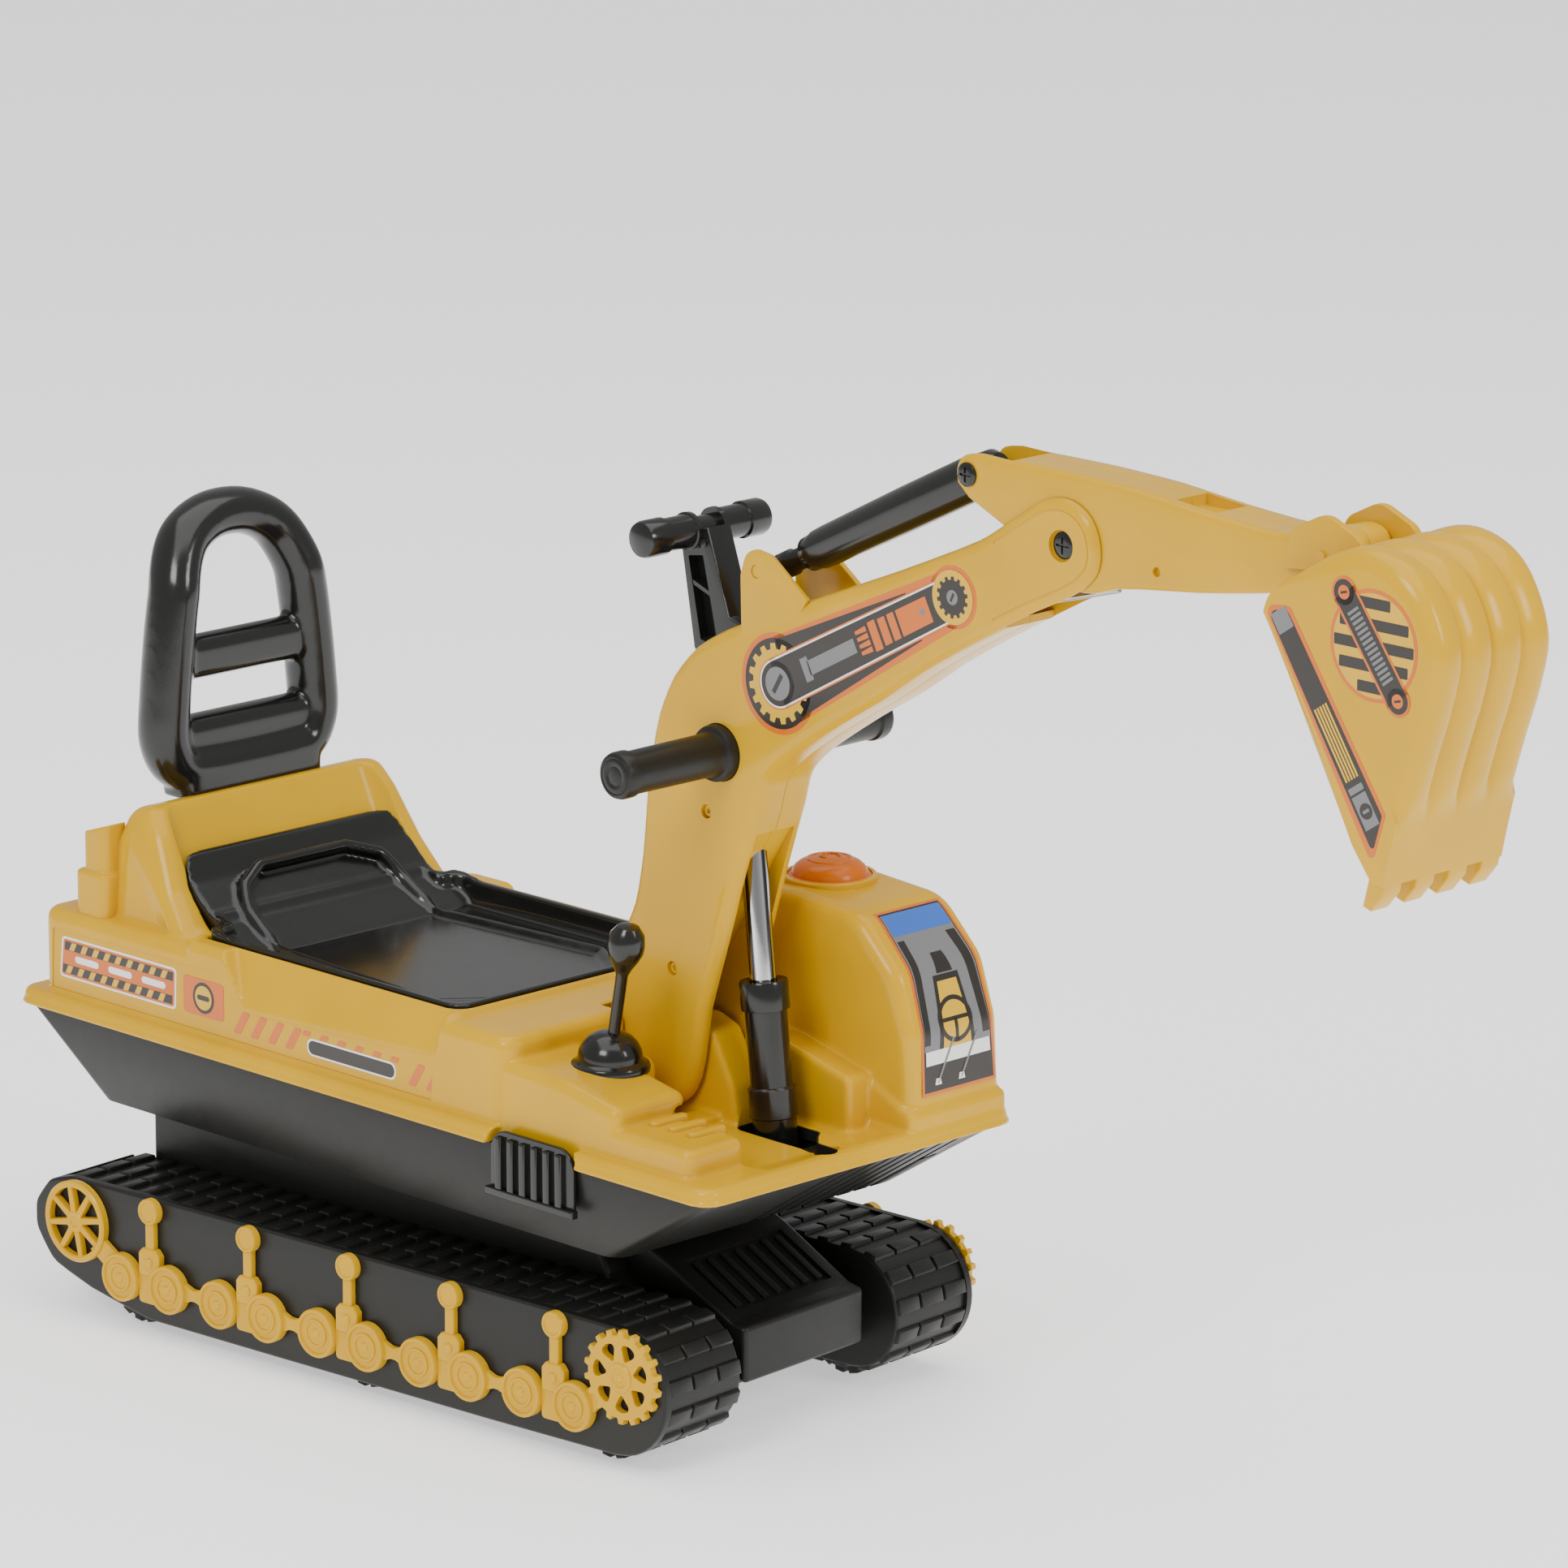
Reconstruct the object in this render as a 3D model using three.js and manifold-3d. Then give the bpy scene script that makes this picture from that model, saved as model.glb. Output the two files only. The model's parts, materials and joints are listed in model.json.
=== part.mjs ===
// Ride-on digger: a crawler base on six small wheels, a slewing body with a seat, and a
// hand-worked boom, arm and bucket. Millimetres, +X towards the bucket, +Y left, +Z up.
import * as THREE from "three";
import { mergeVertices } from "three/addons/utils/BufferGeometryUtils.js";
import Module from "manifold-3d";

const wasm = await Module();
wasm.setup();

// ---- driving dimensions ----
const GAP = 0.3; // running gap between two parts
const WALL = 3.6; // moulded wall
const SLEW_REST_DEG = 4.4; // the body rests turned a little to the right
const ORIGIN_SHIFT = [-254.9, 0.65, 0]; // puts the origin under the middle of the whole toy

// crawler base
const TRACK_OUT = 150; // outer face of a crawler pod
const TRACK_IN = 76; // inner face of a crawler pod
const DECK_Z = 94.7; // top of the crawlers
const PEDESTAL_TOP = 131;
const WHEEL_X = { front: 221, middle: 8, rear: -196 };
const WHEEL_R = 31;
const WHEEL_IN = 92;
const WHEEL_OUT = 133;
const AXLE_R = 4;
const LUG_PITCH = 20;
const LUG_HEIGHT = 2.4;

// running-gear trim
const TRIM_Y = TRACK_OUT + GAP;
const TRIM_THICK = 5.6;
const STUB_X = -165.7;
const UNIT_PITCH = 89.64;
const ROLLER_X = -192.4;
const ROLLER_STEP = 43.3;
const ROLLER_Z = 37.1;

// body
const TUB_FLOOR = 136;
const RIM_Z = 191;
const DECK_FRONT_Z = 198;
const SIDE_TOP = 259;

// boom, arm and bucket, all in the body's X and Z
const BOOM_PIVOT = [175, 240];
const BAR_POS = [236, 442];
const CYL_BASE = [264, 165];
const CYL_TOP = [237.5, 398];
const ARM_PIVOT = [525, 619];
const ARM_EAR = [443, 649];
const BOOM_EAR = [268, 562];
const BUCKET_PIVOT = [730, 645];
const LEVER_PIVOT = [236, 466];
const LEVER_GRIP = [193, 574];
const LINK_REAR = [250, 509];
const LINK_FRONT = [555, 594];
const BOOM_HALF_W = 26;
const ARM_HALF_W = 20.5;
const BUCKET_HALF_W = 52;
const PIN_R = 4;
const PIN_HOLE_R = 4.15;

const BUTTON = [216, 92];

// the two side levers, each about a point just above the deck
const DOME_R = 18;
const LEVERS = {
  right: { at: [192, -78, 245], lean: 0.19 },
  left: { at: [150, 80, 245], lean: -0.12 },
};

// ---- materials ----
const MATERIALS = {
  yellow: new THREE.MeshStandardMaterial({ color: 0xf5b912, roughness: 0.4 }),
  black: new THREE.MeshStandardMaterial({ color: 0x1c1c1a, roughness: 0.45 }),
  orange: new THREE.MeshStandardMaterial({ color: 0xe8731c, roughness: 0.35 }),
  steel: new THREE.MeshStandardMaterial({ color: 0xb8bcc0, roughness: 0.2, metalness: 1 }),
};

// ---- solids ----

// A closed geometry as a manifold solid, turned to face out if it was wound inwards.
function solid(geometry) {
  const plain = geometry.index ? geometry.toNonIndexed() : geometry;
  const bare = new THREE.BufferGeometry();
  bare.setAttribute("position", plain.getAttribute("position"));
  const merged = mergeVertices(bare, 1e-3);
  const at = merged.attributes.position.array;
  const index = [];
  let volume = 0;
  for (let i = 0; i < merged.index.count; i += 3) {
    const [a, b, c] = [0, 1, 2].map((k) => merged.index.getX(i + k));
    if (a === b || b === c || a === c) continue;
    index.push(a, b, c);
    const [p, q, r] = [a, b, c].map((k) => new THREE.Vector3(at[3 * k], at[3 * k + 1], at[3 * k + 2]));
    volume += p.dot(q.cross(r));
  }
  if (volume < 0) index.reverse();
  return new wasm.Manifold(
    new wasm.Mesh({ numProp: 3, vertProperties: at, triVerts: new Uint32Array(index) }),
  );
}

const join = (...parts) => parts.reduce((sum, part) => sum.add(part));
const cut = (whole, ...tools) => tools.reduce((left, tool) => left.subtract(tool), whole);
const mirrored = (part) => part.mirror([0, 1, 0]);
const bothSides = (part) => part.add(mirrored(part));

// An outline whose corners [a, b, radius] are rounded by arcs.
function rounded(corners, steps = 4) {
  const out = [];
  corners.forEach(([x, y, radius = 0], i) => {
    if (!radius) {
      out.push([x, y]);
      return;
    }
    const before = corners[(i + corners.length - 1) % corners.length];
    const after = corners[(i + 1) % corners.length];
    const a = new THREE.Vector2(before[0] - x, before[1] - y).normalize();
    const b = new THREE.Vector2(after[0] - x, after[1] - y).normalize();
    const half = Math.acos(THREE.MathUtils.clamp(a.dot(b), -1, 1)) / 2;
    const reach = radius / Math.tan(half);
    const centre = a.clone().add(b).normalize().multiplyScalar(radius / Math.sin(half));
    const from = a.clone().multiplyScalar(reach).sub(centre);
    const to = b.clone().multiplyScalar(reach).sub(centre);
    let turn = to.angle() - from.angle();
    if (turn > Math.PI) turn -= 2 * Math.PI;
    if (turn < -Math.PI) turn += 2 * Math.PI;
    for (let k = 0; k <= steps; k++) {
      const p = from.clone().rotateAround(new THREE.Vector2(), (turn * k) / steps);
      out.push([x + centre.x + p.x, y + centre.y + p.y]);
    }
  });
  return out;
}

const rectangle = (a0, a1, b0, b1, radius = 0, steps = 3) =>
  rounded([[a0, b0, radius], [a1, b0, radius], [a1, b1, radius], [a0, b1, radius]], steps);

const circle = (a, b, radius, sides = 24) =>
  Array.from({ length: sides }, (_, k) => {
    const t = (2 * Math.PI * k) / sides;
    return [a + radius * Math.cos(t), b + radius * Math.sin(t)];
  });

const anticlockwise = (outline) =>
  THREE.ShapeUtils.isClockWise(outline.map(([a, b]) => new THREE.Vector2(a, b)))
    ? [...outline].reverse()
    : outline;

// The outline moved inwards by d, corner by corner.
function inset(outline, d) {
  const line = anticlockwise(outline);
  return line.map(([x, y], i) => {
    const before = line[(i + line.length - 1) % line.length];
    const after = line[(i + 1) % line.length];
    const e = new THREE.Vector2(x - before[0], y - before[1]).normalize();
    const f = new THREE.Vector2(after[0] - x, after[1] - y).normalize();
    const normal = new THREE.Vector2(-e.y - f.y, e.x + f.x).normalize();
    const reach = d / Math.max(0.5, normal.dot(new THREE.Vector2(-e.y, e.x)));
    return [x + normal.x * reach, y + normal.y * reach];
  });
}

// Prisms of a flat outline: across (outline in X and Z), upright (X and Y), along (Y and Z).
function extruded(outline, depth) {
  const shape = new THREE.Shape(outline.map(([a, b]) => new THREE.Vector2(a, b)));
  return new THREE.ExtrudeGeometry(shape, { depth, bevelEnabled: false });
}
const across = (outline, y0, y1) =>
  solid(extruded(outline, y1 - y0).rotateX(Math.PI / 2).translate(0, y1, 0));
const upright = (outline, z0, z1) => solid(extruded(outline, z1 - z0).translate(0, 0, z0));
function along(outline, x0, x1) {
  const turn = new THREE.Matrix4().makeBasis(
    new THREE.Vector3(0, 1, 0),
    new THREE.Vector3(0, 0, 1),
    new THREE.Vector3(1, 0, 0),
  );
  return solid(extruded(outline, x1 - x0).applyMatrix4(turn).translate(x0, 0, 0));
}
const box = (x0, x1, y0, y1, z0, z1) => upright(rectangle(x0, x1, y0, y1), z0, z1);

// A solid through rings of points, each ring with the same count, capped at both ends.
function lofted(rings) {
  const count = rings[0].length;
  const middle = (ring) =>
    ring.reduce((sum, p) => sum.add(new THREE.Vector3(...p)), new THREE.Vector3()).divideScalar(count);
  const way = middle(rings[rings.length - 1]).sub(middle(rings[0])).normalize();
  const u = Math.abs(way.z) > 0.7 ? new THREE.Vector3(1, 0, 0) : new THREE.Vector3(0, 0, 1);
  u.addScaledVector(way, -u.dot(way)).normalize();
  const v = way.clone().cross(u);
  const flat = (ring) => ring.map((p) => new THREE.Vector3(...p)).map((p) => new THREE.Vector2(p.dot(u), p.dot(v)));
  const ordered = THREE.ShapeUtils.isClockWise(flat(rings[0])) ? rings.map((r) => [...r].reverse()) : rings;
  const index = [];
  for (let k = 0; k + 1 < ordered.length; k++)
    for (let i = 0; i < count; i++) {
      const j = (i + 1) % count;
      const [a, b, c, d] = [k * count + i, k * count + j, (k + 1) * count + j, (k + 1) * count + i];
      index.push(a, b, c, a, c, d);
    }
  const last = (ordered.length - 1) * count;
  for (const [a, b, c] of THREE.ShapeUtils.triangulateShape(flat(ordered[0]), [])) index.push(c, b, a);
  for (const [a, b, c] of THREE.ShapeUtils.triangulateShape(flat(ordered[ordered.length - 1]), []))
    index.push(last + a, last + b, last + c);
  const geometry = new THREE.BufferGeometry();
  geometry.setAttribute("position", new THREE.Float32BufferAttribute(ordered.flat(2), 3));
  geometry.setIndex(index);
  return solid(geometry);
}

// A block with rounded upright corners and a rounded top edge.
function block(x0, x1, y0, y1, z0, z1, corner, edge = 0) {
  const ring = (d, z) =>
    rectangle(x0 + d, x1 - d, y0 + d, y1 - d, Math.max(corner - d, 0.8), 2).map(([x, y]) => [x, y, z]);
  const rings = [ring(0, z0), ring(0, z1 - edge)];
  if (edge)
    for (const t of [Math.PI / 4, Math.PI / 2])
      rings.push(ring(edge * (1 - Math.cos(t)), z1 - edge + edge * Math.sin(t)));
  return lofted(rings);
}

// A plate drawn in X and Z from y0 (inside) to y1 (outside) with a rounded outer edge.
function roundedPlate(outline, y0, y1, edge) {
  const sign = Math.sign(y1 - y0);
  const ring = (d, y) => inset(outline, d).map(([x, z]) => [x, y, z]);
  const rings = [ring(0, y0), ring(0, y1 - sign * edge)];
  for (const t of [0.8, Math.PI / 2])
    rings.push(ring(edge * (1 - Math.cos(t)), y1 - sign * edge * (1 - Math.sin(t))));
  return lofted(rings);
}

// A turned part: profile of [radius, height] about the line from one point to another.
function turned(profile, from, to, sides = 18) {
  const geometry = new THREE.LatheGeometry(
    profile.map(([r, h]) => new THREE.Vector2(r, h)),
    sides,
  );
  const start = new THREE.Vector3(...from);
  const way = new THREE.Vector3(...to).sub(start).normalize();
  geometry.applyQuaternion(new THREE.Quaternion().setFromUnitVectors(new THREE.Vector3(0, 1, 0), way));
  return solid(geometry.translate(start.x, start.y, start.z));
}
function bar(from, to, radius, sides = 16) {
  const length = new THREE.Vector3(...to).distanceTo(new THREE.Vector3(...from));
  return turned([[0, 0], [radius, 0], [radius, length], [0, length]], from, to, sides);
}
const pinY = ([x, z], y0, y1, radius, sides = 14) => bar([x, y0, z], [x, y1, z], radius, sides);

// ---- groups ----
const digger = new THREE.Group();
digger.position.set(...ORIGIN_SHIFT);
const base = new THREE.Group();
base.name = "base";
const body = new THREE.Group();
body.name = "slewing_body";
body.rotation.z = THREE.MathUtils.degToRad(-SLEW_REST_DEG);
digger.add(base, body);

function add(group, name, part, material) {
  const data = part.simplify(0.04).getMesh();
  const points = new Float32Array(data.numVert * 3);
  for (let i = 0; i < data.numVert; i++)
    points.set(data.vertProperties.subarray(i * data.numProp, i * data.numProp + 3), i * 3);
  const geometry = new THREE.BufferGeometry();
  geometry.setAttribute("position", new THREE.BufferAttribute(points, 3));
  geometry.setIndex(new THREE.BufferAttribute(data.triVerts, 1));
  geometry.computeVertexNormals();
  const mesh = new THREE.Mesh(geometry, MATERIALS[material]);
  mesh.name = name;
  group.add(mesh);
}

// ---- crawler base: one blow-moulded piece with a pedestal between two crawler pods ----
const TRACK = rounded(
  [
    [-244, DECK_Z, 18], [-264, 89, 14], [-277.5, 72, 14], [-277.5, 54, 16], [-262, 33, 20],
    [-226, 21, 30], [-172, 10.5, 40], [240.6, 10.6], [256.7, 13.8], [270.3, 22.9], [279.4, 36.5],
    [282.6, 52.6], [279.4, 68.7], [270.3, 82.3], [256.7, 91.4], [240.6, DECK_Z],
  ],
  2,
);

// The track's outline with lugs stepped along it.
function withLugs(outline) {
  const line = anticlockwise(outline).map(([x, z]) => new THREE.Vector2(x, z));
  const path = new THREE.Path([...line, line[0]]);
  const count = Math.round(path.getLength() / LUG_PITCH);
  const points = [];
  for (let k = 0; k < count; k++)
    for (const [share, height] of [[0.05, 0], [0.15, LUG_HEIGHT], [0.5, LUG_HEIGHT], [0.6, 0]]) {
      const t = (k + share) / count;
      const here = path.getPointAt(t);
      const onFloorSide = here.y < 16;
      if (onFloorSide && height) continue;
      const tangent = path.getPointAt(Math.min(t + 0.002, 1)).sub(path.getPointAt(Math.max(t - 0.002, 0))).normalize();
      points.push([here.x + tangent.y * height, here.y - tangent.x * height]);
    }
  return points;
}

const pod = join(
  across(withLugs(inset(TRACK, LUG_HEIGHT + 0.2)), TRACK_IN, TRACK_OUT - 2),
  across(TRACK, TRACK_OUT - 4, TRACK_OUT),
);
const podHollow = join(
  across(inset(TRACK, WALL + 2.5), TRACK_IN + WALL, TRACK_OUT - WALL),
  ...Object.values(WHEEL_X).map((x) => box(x - 37, x + 37, WHEEL_IN - 5, WHEEL_OUT + 4, -5, 50)),
);
const middleForm = (t) =>
  join(
    across(
      rounded([
        [-240 + t, 40 - 8 * t, 0], [245 - t, 40 - 8 * t, 0], [245 - t, 71 - t, 3], [200, 71 - t, 3],
        [168, DECK_Z - t, 3], [150, PEDESTAL_TOP - t, 8], [-240 + t, PEDESTAL_TOP - t, 8],
      ], 2),
      -TRACK_IN + t, TRACK_IN - t,
    ),
    across(
      [[140, 40 - 8 * t], [268 - t, 40 - 8 * t], [268 - t, 77 - t], [256, 78 - t], [203, 107 - t], [140, PEDESTAL_TOP - t]],
      -58 + t, 58 - t,
    ),
  );
const trayPanel = across([[212, 108], [250, 87.5], [248, 81.5], [210, 102.5]], -42, 42);
const axleHoles = Object.values(WHEEL_X).map((x) => pinY([x, WHEEL_R], -90, 90, AXLE_R + 0.15, 16));
const slewHole = bar([0, 0, 100], [0, 0, 150], 10.2, 24);
const middle = cut(middleForm(0), middleForm(WALL), slewHole);
add(
  base,
  "crawler_base",
  cut(join(middle, bothSides(cut(pod, podHollow))), across([[205, 60], [205, 110], [252, 84], [252, 76]], -42, 42).intersect(trayPanel), ...axleHoles),
  "black",
);

// ---- running-gear trim, one moulding per side ----
function ringShape(outer, inner, spokes, hub, spokeWidth, outlineOf = (r) => circle(0, 0, r, 18)) {
  const parts = [extruded(outlineOf(outer), TRIM_THICK)].map((g) => solid(g));
  let ring = cut(parts[0], solid(extruded(circle(0, 0, inner, 16), TRIM_THICK + 2).translate(0, 0, -1)));
  ring = ring.add(solid(extruded(circle(0, 0, hub, 10), TRIM_THICK)));
  for (let k = 0; k < spokes; k++) {
    const spoke = extruded(rectangle(hub - 1.5, inner + 1, -spokeWidth / 2, spokeWidth / 2), TRIM_THICK);
    ring = ring.add(solid(spoke.rotateZ((2 * Math.PI * (k + 0.25)) / spokes)));
  }
  return ring;
}
// Lays a part drawn in X and Y flat against the outer face on the -Y side.
const onRight = (part, x, z) => part.rotate([90, 0, 0]).translate([x, -TRIM_Y, z]);
const toothed = (r) =>
  Array.from({ length: 14 * 2 }, (_, k) => {
    const t = (Math.PI * (k + 0.5)) / 14;
    const radius = k % 2 ? r : r - 3;
    return [radius * Math.cos(t), radius * Math.sin(t)];
  });
const plaque = (outline, thick) => across(outline, -TRIM_Y - thick, -TRIM_Y);
const disc = (x, z, r, thick, sides = 12) => plaque(circle(x, z, r, sides), thick);

function runningGear() {
  let gear = join(
    onRight(ringShape(27, 22.5, 8, 6.5, 4.2), -235, 66.5),
    onRight(ringShape(30, 22, 7, 10, 7, toothed), 250, 65),
    plaque([[-222, 48], [-214, 58], [-190, 44], [-196, 34]], 3.4),
    plaque([[208, 36], [226, 55], [235, 46], [216, 28]], 3.4),
  );
  for (let k = 0; k < 5; k++) {
    const x = ROLLER_X + k * UNIT_PITCH;
    const stub = STUB_X + k * UNIT_PITCH;
    gear = join(
      gear,
      disc(x, ROLLER_Z, 15.6, TRIM_THICK),
      disc(x + ROLLER_STEP, ROLLER_Z, 15.6, TRIM_THICK),
      disc(stub, 87.1, 8.6, TRIM_THICK, 8),
      plaque(rectangle(stub - 4, stub + 4, 50, 84), 3.8),
      plaque(rectangle(stub - 9, stub + 8, 45, 61), 5),
      plaque(rectangle(stub - 12, stub + 5, 24, 48), 3.4),
    );
    if (k < 4) gear = gear.add(plaque(rectangle(x + ROLLER_STEP + 8, x + UNIT_PITCH - 8, 32, 43), 3.4));
  }
  return gear;
}
add(base, "right_running_gear", runningGear(), "yellow");
add(base, "left_running_gear", mirrored(runningGear()), "yellow");

// ---- six treaded wheels on three steel axles ----
function wheel(x) {
  const recess = cut(
    pinY([x, WHEEL_R], -WHEEL_IN - 9, -WHEEL_IN + 1, 23, 16),
    pinY([x, WHEEL_R], -WHEEL_IN - 10, -WHEEL_IN + 2, 9, 12),
  );
  return cut(
    across(circle(x, WHEEL_R, WHEEL_R, 32), -WHEEL_OUT, -WHEEL_IN),
    pinY([x, WHEEL_R], -WHEEL_OUT + 4, -WHEEL_IN + 1, AXLE_R + 0.15),
    recess,
  );
}
for (const [place, x] of Object.entries(WHEEL_X)) {
  add(base, "right_" + place + "_wheel", wheel(x), "black");
  add(base, "left_" + place + "_wheel", mirrored(wheel(x)), "black");
  add(base, place + "_axle", pinY([x, WHEEL_R], -WHEEL_OUT + 4.4, WHEEL_OUT - 4.4, AXLE_R, 16), "steel");
}

// ---- slewing joint ----
add(
  base,
  "slew_bearing_ring",
  cut(bar([0, 0, PEDESTAL_TOP + GAP], [0, 0, TUB_FLOOR - GAP], 68, 32), bar([0, 0, 120], [0, 0, 140], 54, 32)),
  "black",
);
add(
  base,
  "slew_pivot_bolt",
  turned(
    [[0, 118], [19, 118], [19, 126.6], [9.9, 126.6], [9.9, 140.2], [19, 140.2], [19, 147], [0, 147]],
    [0, 0, 0], [0, 0, 1],
  ),
  "steel",
);

// ---- lower tub ----
const tubRing = (x0, x1, half, z) => rectangle(x0, x1, -half, half, 12, 3).map(([x, y]) => [x, y, z]);
const tubOuter = lofted([tubRing(-251, 247, 125, TUB_FLOOR), tubRing(-319, 334, 132, RIM_Z - 0.4)]);
const tubInner = lofted([
  tubRing(-247, 243, 121.5, TUB_FLOOR + WALL),
  tubRing(-315, 330, 128.5, RIM_Z - 0.4),
  tubRing(-319, 333, 129, RIM_Z + 6),
]);
const cylinderBracket = cut(
  across(rounded([[246, 138], [282, 138], [276, 175, 9], [252, 175, 9]], 3), 17.5, 22.5),
  pinY(CYL_BASE, 15, 25, PIN_HOLE_R),
);
add(
  body,
  "lower_tub",
  cut(
    join(cut(tubOuter, tubInner), bothSides(cylinderBracket)),
    bar([0, 0, 130], [0, 0, 150], 10.2, 24),
  ),
  "black",
);

// ---- upper shell ----
const hoodProfile = (t) =>
  rounded([
    [183 + t, RIM_Z + 2 - 4 * t, 0], [335 - t, RIM_Z + 2 - 4 * t, 0], [331 - t, 262, 30], [318 - t, 300 - t, 30],
    [284 - t / 2, 333 - t, 34], [222, 337 - t, 12], [183 + t, 334 - t, 10],
  ], 2);
const humpProfile = (t) =>
  rounded([
    [-268 + t, 205 - 8 * t, 0], [-150, 205 - 8 * t, 0], [-150, 252 - t, 0], [-172 - t, 262 - t, 12],
    [-190 - t, 286 - t, 30], [-206 - t, 322 - t, 14], [-222, 335 - t, 12], [-244 + t, 331 - t, 14],
    [-260 + t, 296, 30],
  ], 2);
function humpForm(t) {
  const plan = [[-268 + t, -118 + t, 30], [-130, -118 + t, 0], [-130, 118 - t, 0], [-268 + t, 118 - t, 30]];
  return join(
    roundedPlate(humpProfile(t), 0, 118 - t, 12),
    roundedPlate(humpProfile(t), 0, t - 118, 12),
  ).intersect(upright(rounded(plan, 3), 150, 350));
}
function shellForm(t) {
  const low = RIM_Z - 6 * t;
  const hood = join(
    roundedPlate(hoodProfile(t), 92, 47 + t, 9),
    roundedPlate(hoodProfile(t), 92.01, 130 - t, 9),
  );
  return join(
    block(-322 + t, 339 - t, -137 + t, 137 - t, low, DECK_FRONT_Z + 4 - t, 14, t ? 0 : 5),
    block(-306 + t, 152 - t, -129 + t, 36 - t, low, SIDE_TOP - t, 14, t ? 0 : 8),
    block(-306 + t, 128 - t, -129 + t, 129 - t, low, SIDE_TOP - t, 14, t ? 0 : 8),
    block(-165 + t, 96 - t, -129 + t, 129 - t, low, SIDE_TOP + 4 - t, 14, t ? 0 : 8),
    humpForm(t),
    block(120 + t, 258 - t, -127 + t, -40 - t, low, 241 - t, 12, t ? 0 : 8),
    block(120 + t, 200 - t, 40 + t, 127 - t, low, 241 - t, 12, t ? 0 : 8),
    block(240 + t, 302 - t, -127 + t, -61 - t, low, 216 - t, 8, t ? 0 : 4),
    across(
      rounded([[200 + t, low], [300 - t, low], [299 - t, 233 - t, 6], [240, 247 - t, 10], [200 + t, 250 - t]], 2),
      26 + t, 60,
    ),
    across(
      rounded([[183 + t, low], [337 - t, low], [337 - t, 213 - t, 5], [329 - t, 216 - t, 6], [299, 230 - t, 12], [260, 240 - t], [183 + t, 240 - t]], 2),
      44 + t, 131 - t,
    ),
    across(
      rounded([[162 + t, low], [241 - t, low], [235 - t, 222 - t, 12], [217 - t, 255 - t, 10], [196, 262 - t, 12], [162 + t, 246 - t, 8]], 3),
      -13 + t, 13 - t,
    ),
    hood,
  );
}
const bellows = (side) => across(rounded([[140, 180], [222, 180], [222, 206, 16], [140, 206, 16]], 4), side * 134 - 8, side * 134 + 8);
const legSlot = pinY(BOOM_PIVOT, 14.2, 28, 48, 18).intersect(box(110, 262, 10, 40, 150, 262));
const frontSlot = upright(
  rounded([[238, -17, 10], [284, -17, 6], [296, -9, 4], [304, -13, 12], [330, -13, 12], [330, 13, 12], [304, 13, 12], [296, 9, 4], [284, 17, 6], [238, 17, 10]], 2),
  170, 215,
);
// The plan of the seat, narrower between the cheeks of the hump, drawn in by d.
const SEAT = { back: -206, cheek: -158, front: 90, narrow: 97, wide: 113 };
const seatPlan = (d, back = SEAT.back) =>
  [-1, 1].flatMap((side) => {
    const half = [
      [back + d, side * (SEAT.narrow - d), 18], [SEAT.cheek + d, side * (SEAT.narrow - d), 5],
      [SEAT.cheek + d, side * (SEAT.wide - d), 8], [SEAT.front - d, side * (SEAT.wide - d), 12],
    ];
    return side < 0 ? half : half.reverse();
  });
const seatRing = (d, z, back) => rounded(seatPlan(d, back), 3).map(([x, y]) => [x, y, z]);
const seatPocket = (t) =>
  lofted([seatRing(-t, 240 - t), seatRing(-t, 296), seatRing(-t, 350, SEAT.back - 26)]);
add(
  body,
  "upper_shell",
  cut(
    cut(shellForm(0), cut(shellForm(WALL), seatPocket(WALL))),
    seatPocket(0),
    bellows(-1), bellows(1),
    legSlot, mirrored(legSlot),
    frontSlot,
    pinY(BOOM_PIVOT, -20, 20, PIN_HOLE_R),
    bar([...BUTTON, 320], [...BUTTON, 350], 25.6, 24),
    ...Object.values(LEVERS).map(({ at: [x, y, z] }) => bar([x, y, z - 25], [x, y, z + 5], DOME_R + 0.4, 18)),
  ),
  "yellow",
);

// ---- seat, backrest, exhaust, button, sound box ----
const seatDish = (t) =>
  lofted([seatRing(4 + t, 243 + t), seatRing(0.5 + t, t ? 275 : 266)]);
const seatBack = cut(
  across(rounded([[-205.5, 245], [-126, 245], [-126, 262], [-162, 266, 14], [-186, 286, 14], [-196, 306, 4], [-205.5, 306]], 3), -96.5, 96.5)
    .intersect(lofted([seatRing(0.5, 240), seatRing(0.5, 320)])),
  across([[-220, 251], [-143, 251], [-163, 258], [-189, 282], [-200, 299], [-220, 299]], -80, 80),
);
add(body, "seat", join(cut(seatDish(0), seatDish(WALL)), seatBack), "black");
function backrest() {
  const frame = [
    [-46, 349], [46, 349], [66, 352], [77, 368], [76, 400], [69, 450], [62, 478], [47, 500], [24, 511],
    [0, 514], [-24, 511], [-47, 500], [-62, 478], [-69, 450], [-76, 400], [-77, 368], [-66, 352],
  ];
  const path = new THREE.CatmullRomCurve3(
    frame.map(([y, z]) => new THREE.Vector3(-250 - Math.max(0, z - 470) * 0.25, y * 0.84, z)),
    true, "centripetal",
  );
  const loop = solid(new THREE.TubeGeometry(path, 30, 15.5, 8, true));
  return join(
    loop,
    block(-260, -240, -60, 60, 410, 440, 6, 4),
    block(-260, -240, -62, 62, 346, 384, 6, 4),
    cut(block(-262, -232, -60, 60, 320, 352, 8), box(-255, -239, -52, 52, 310, 346)),
  );
}
add(body, "backrest", cut(backrest(), box(-300, -200, -70, 70, 300, 335.6)), "black");
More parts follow.
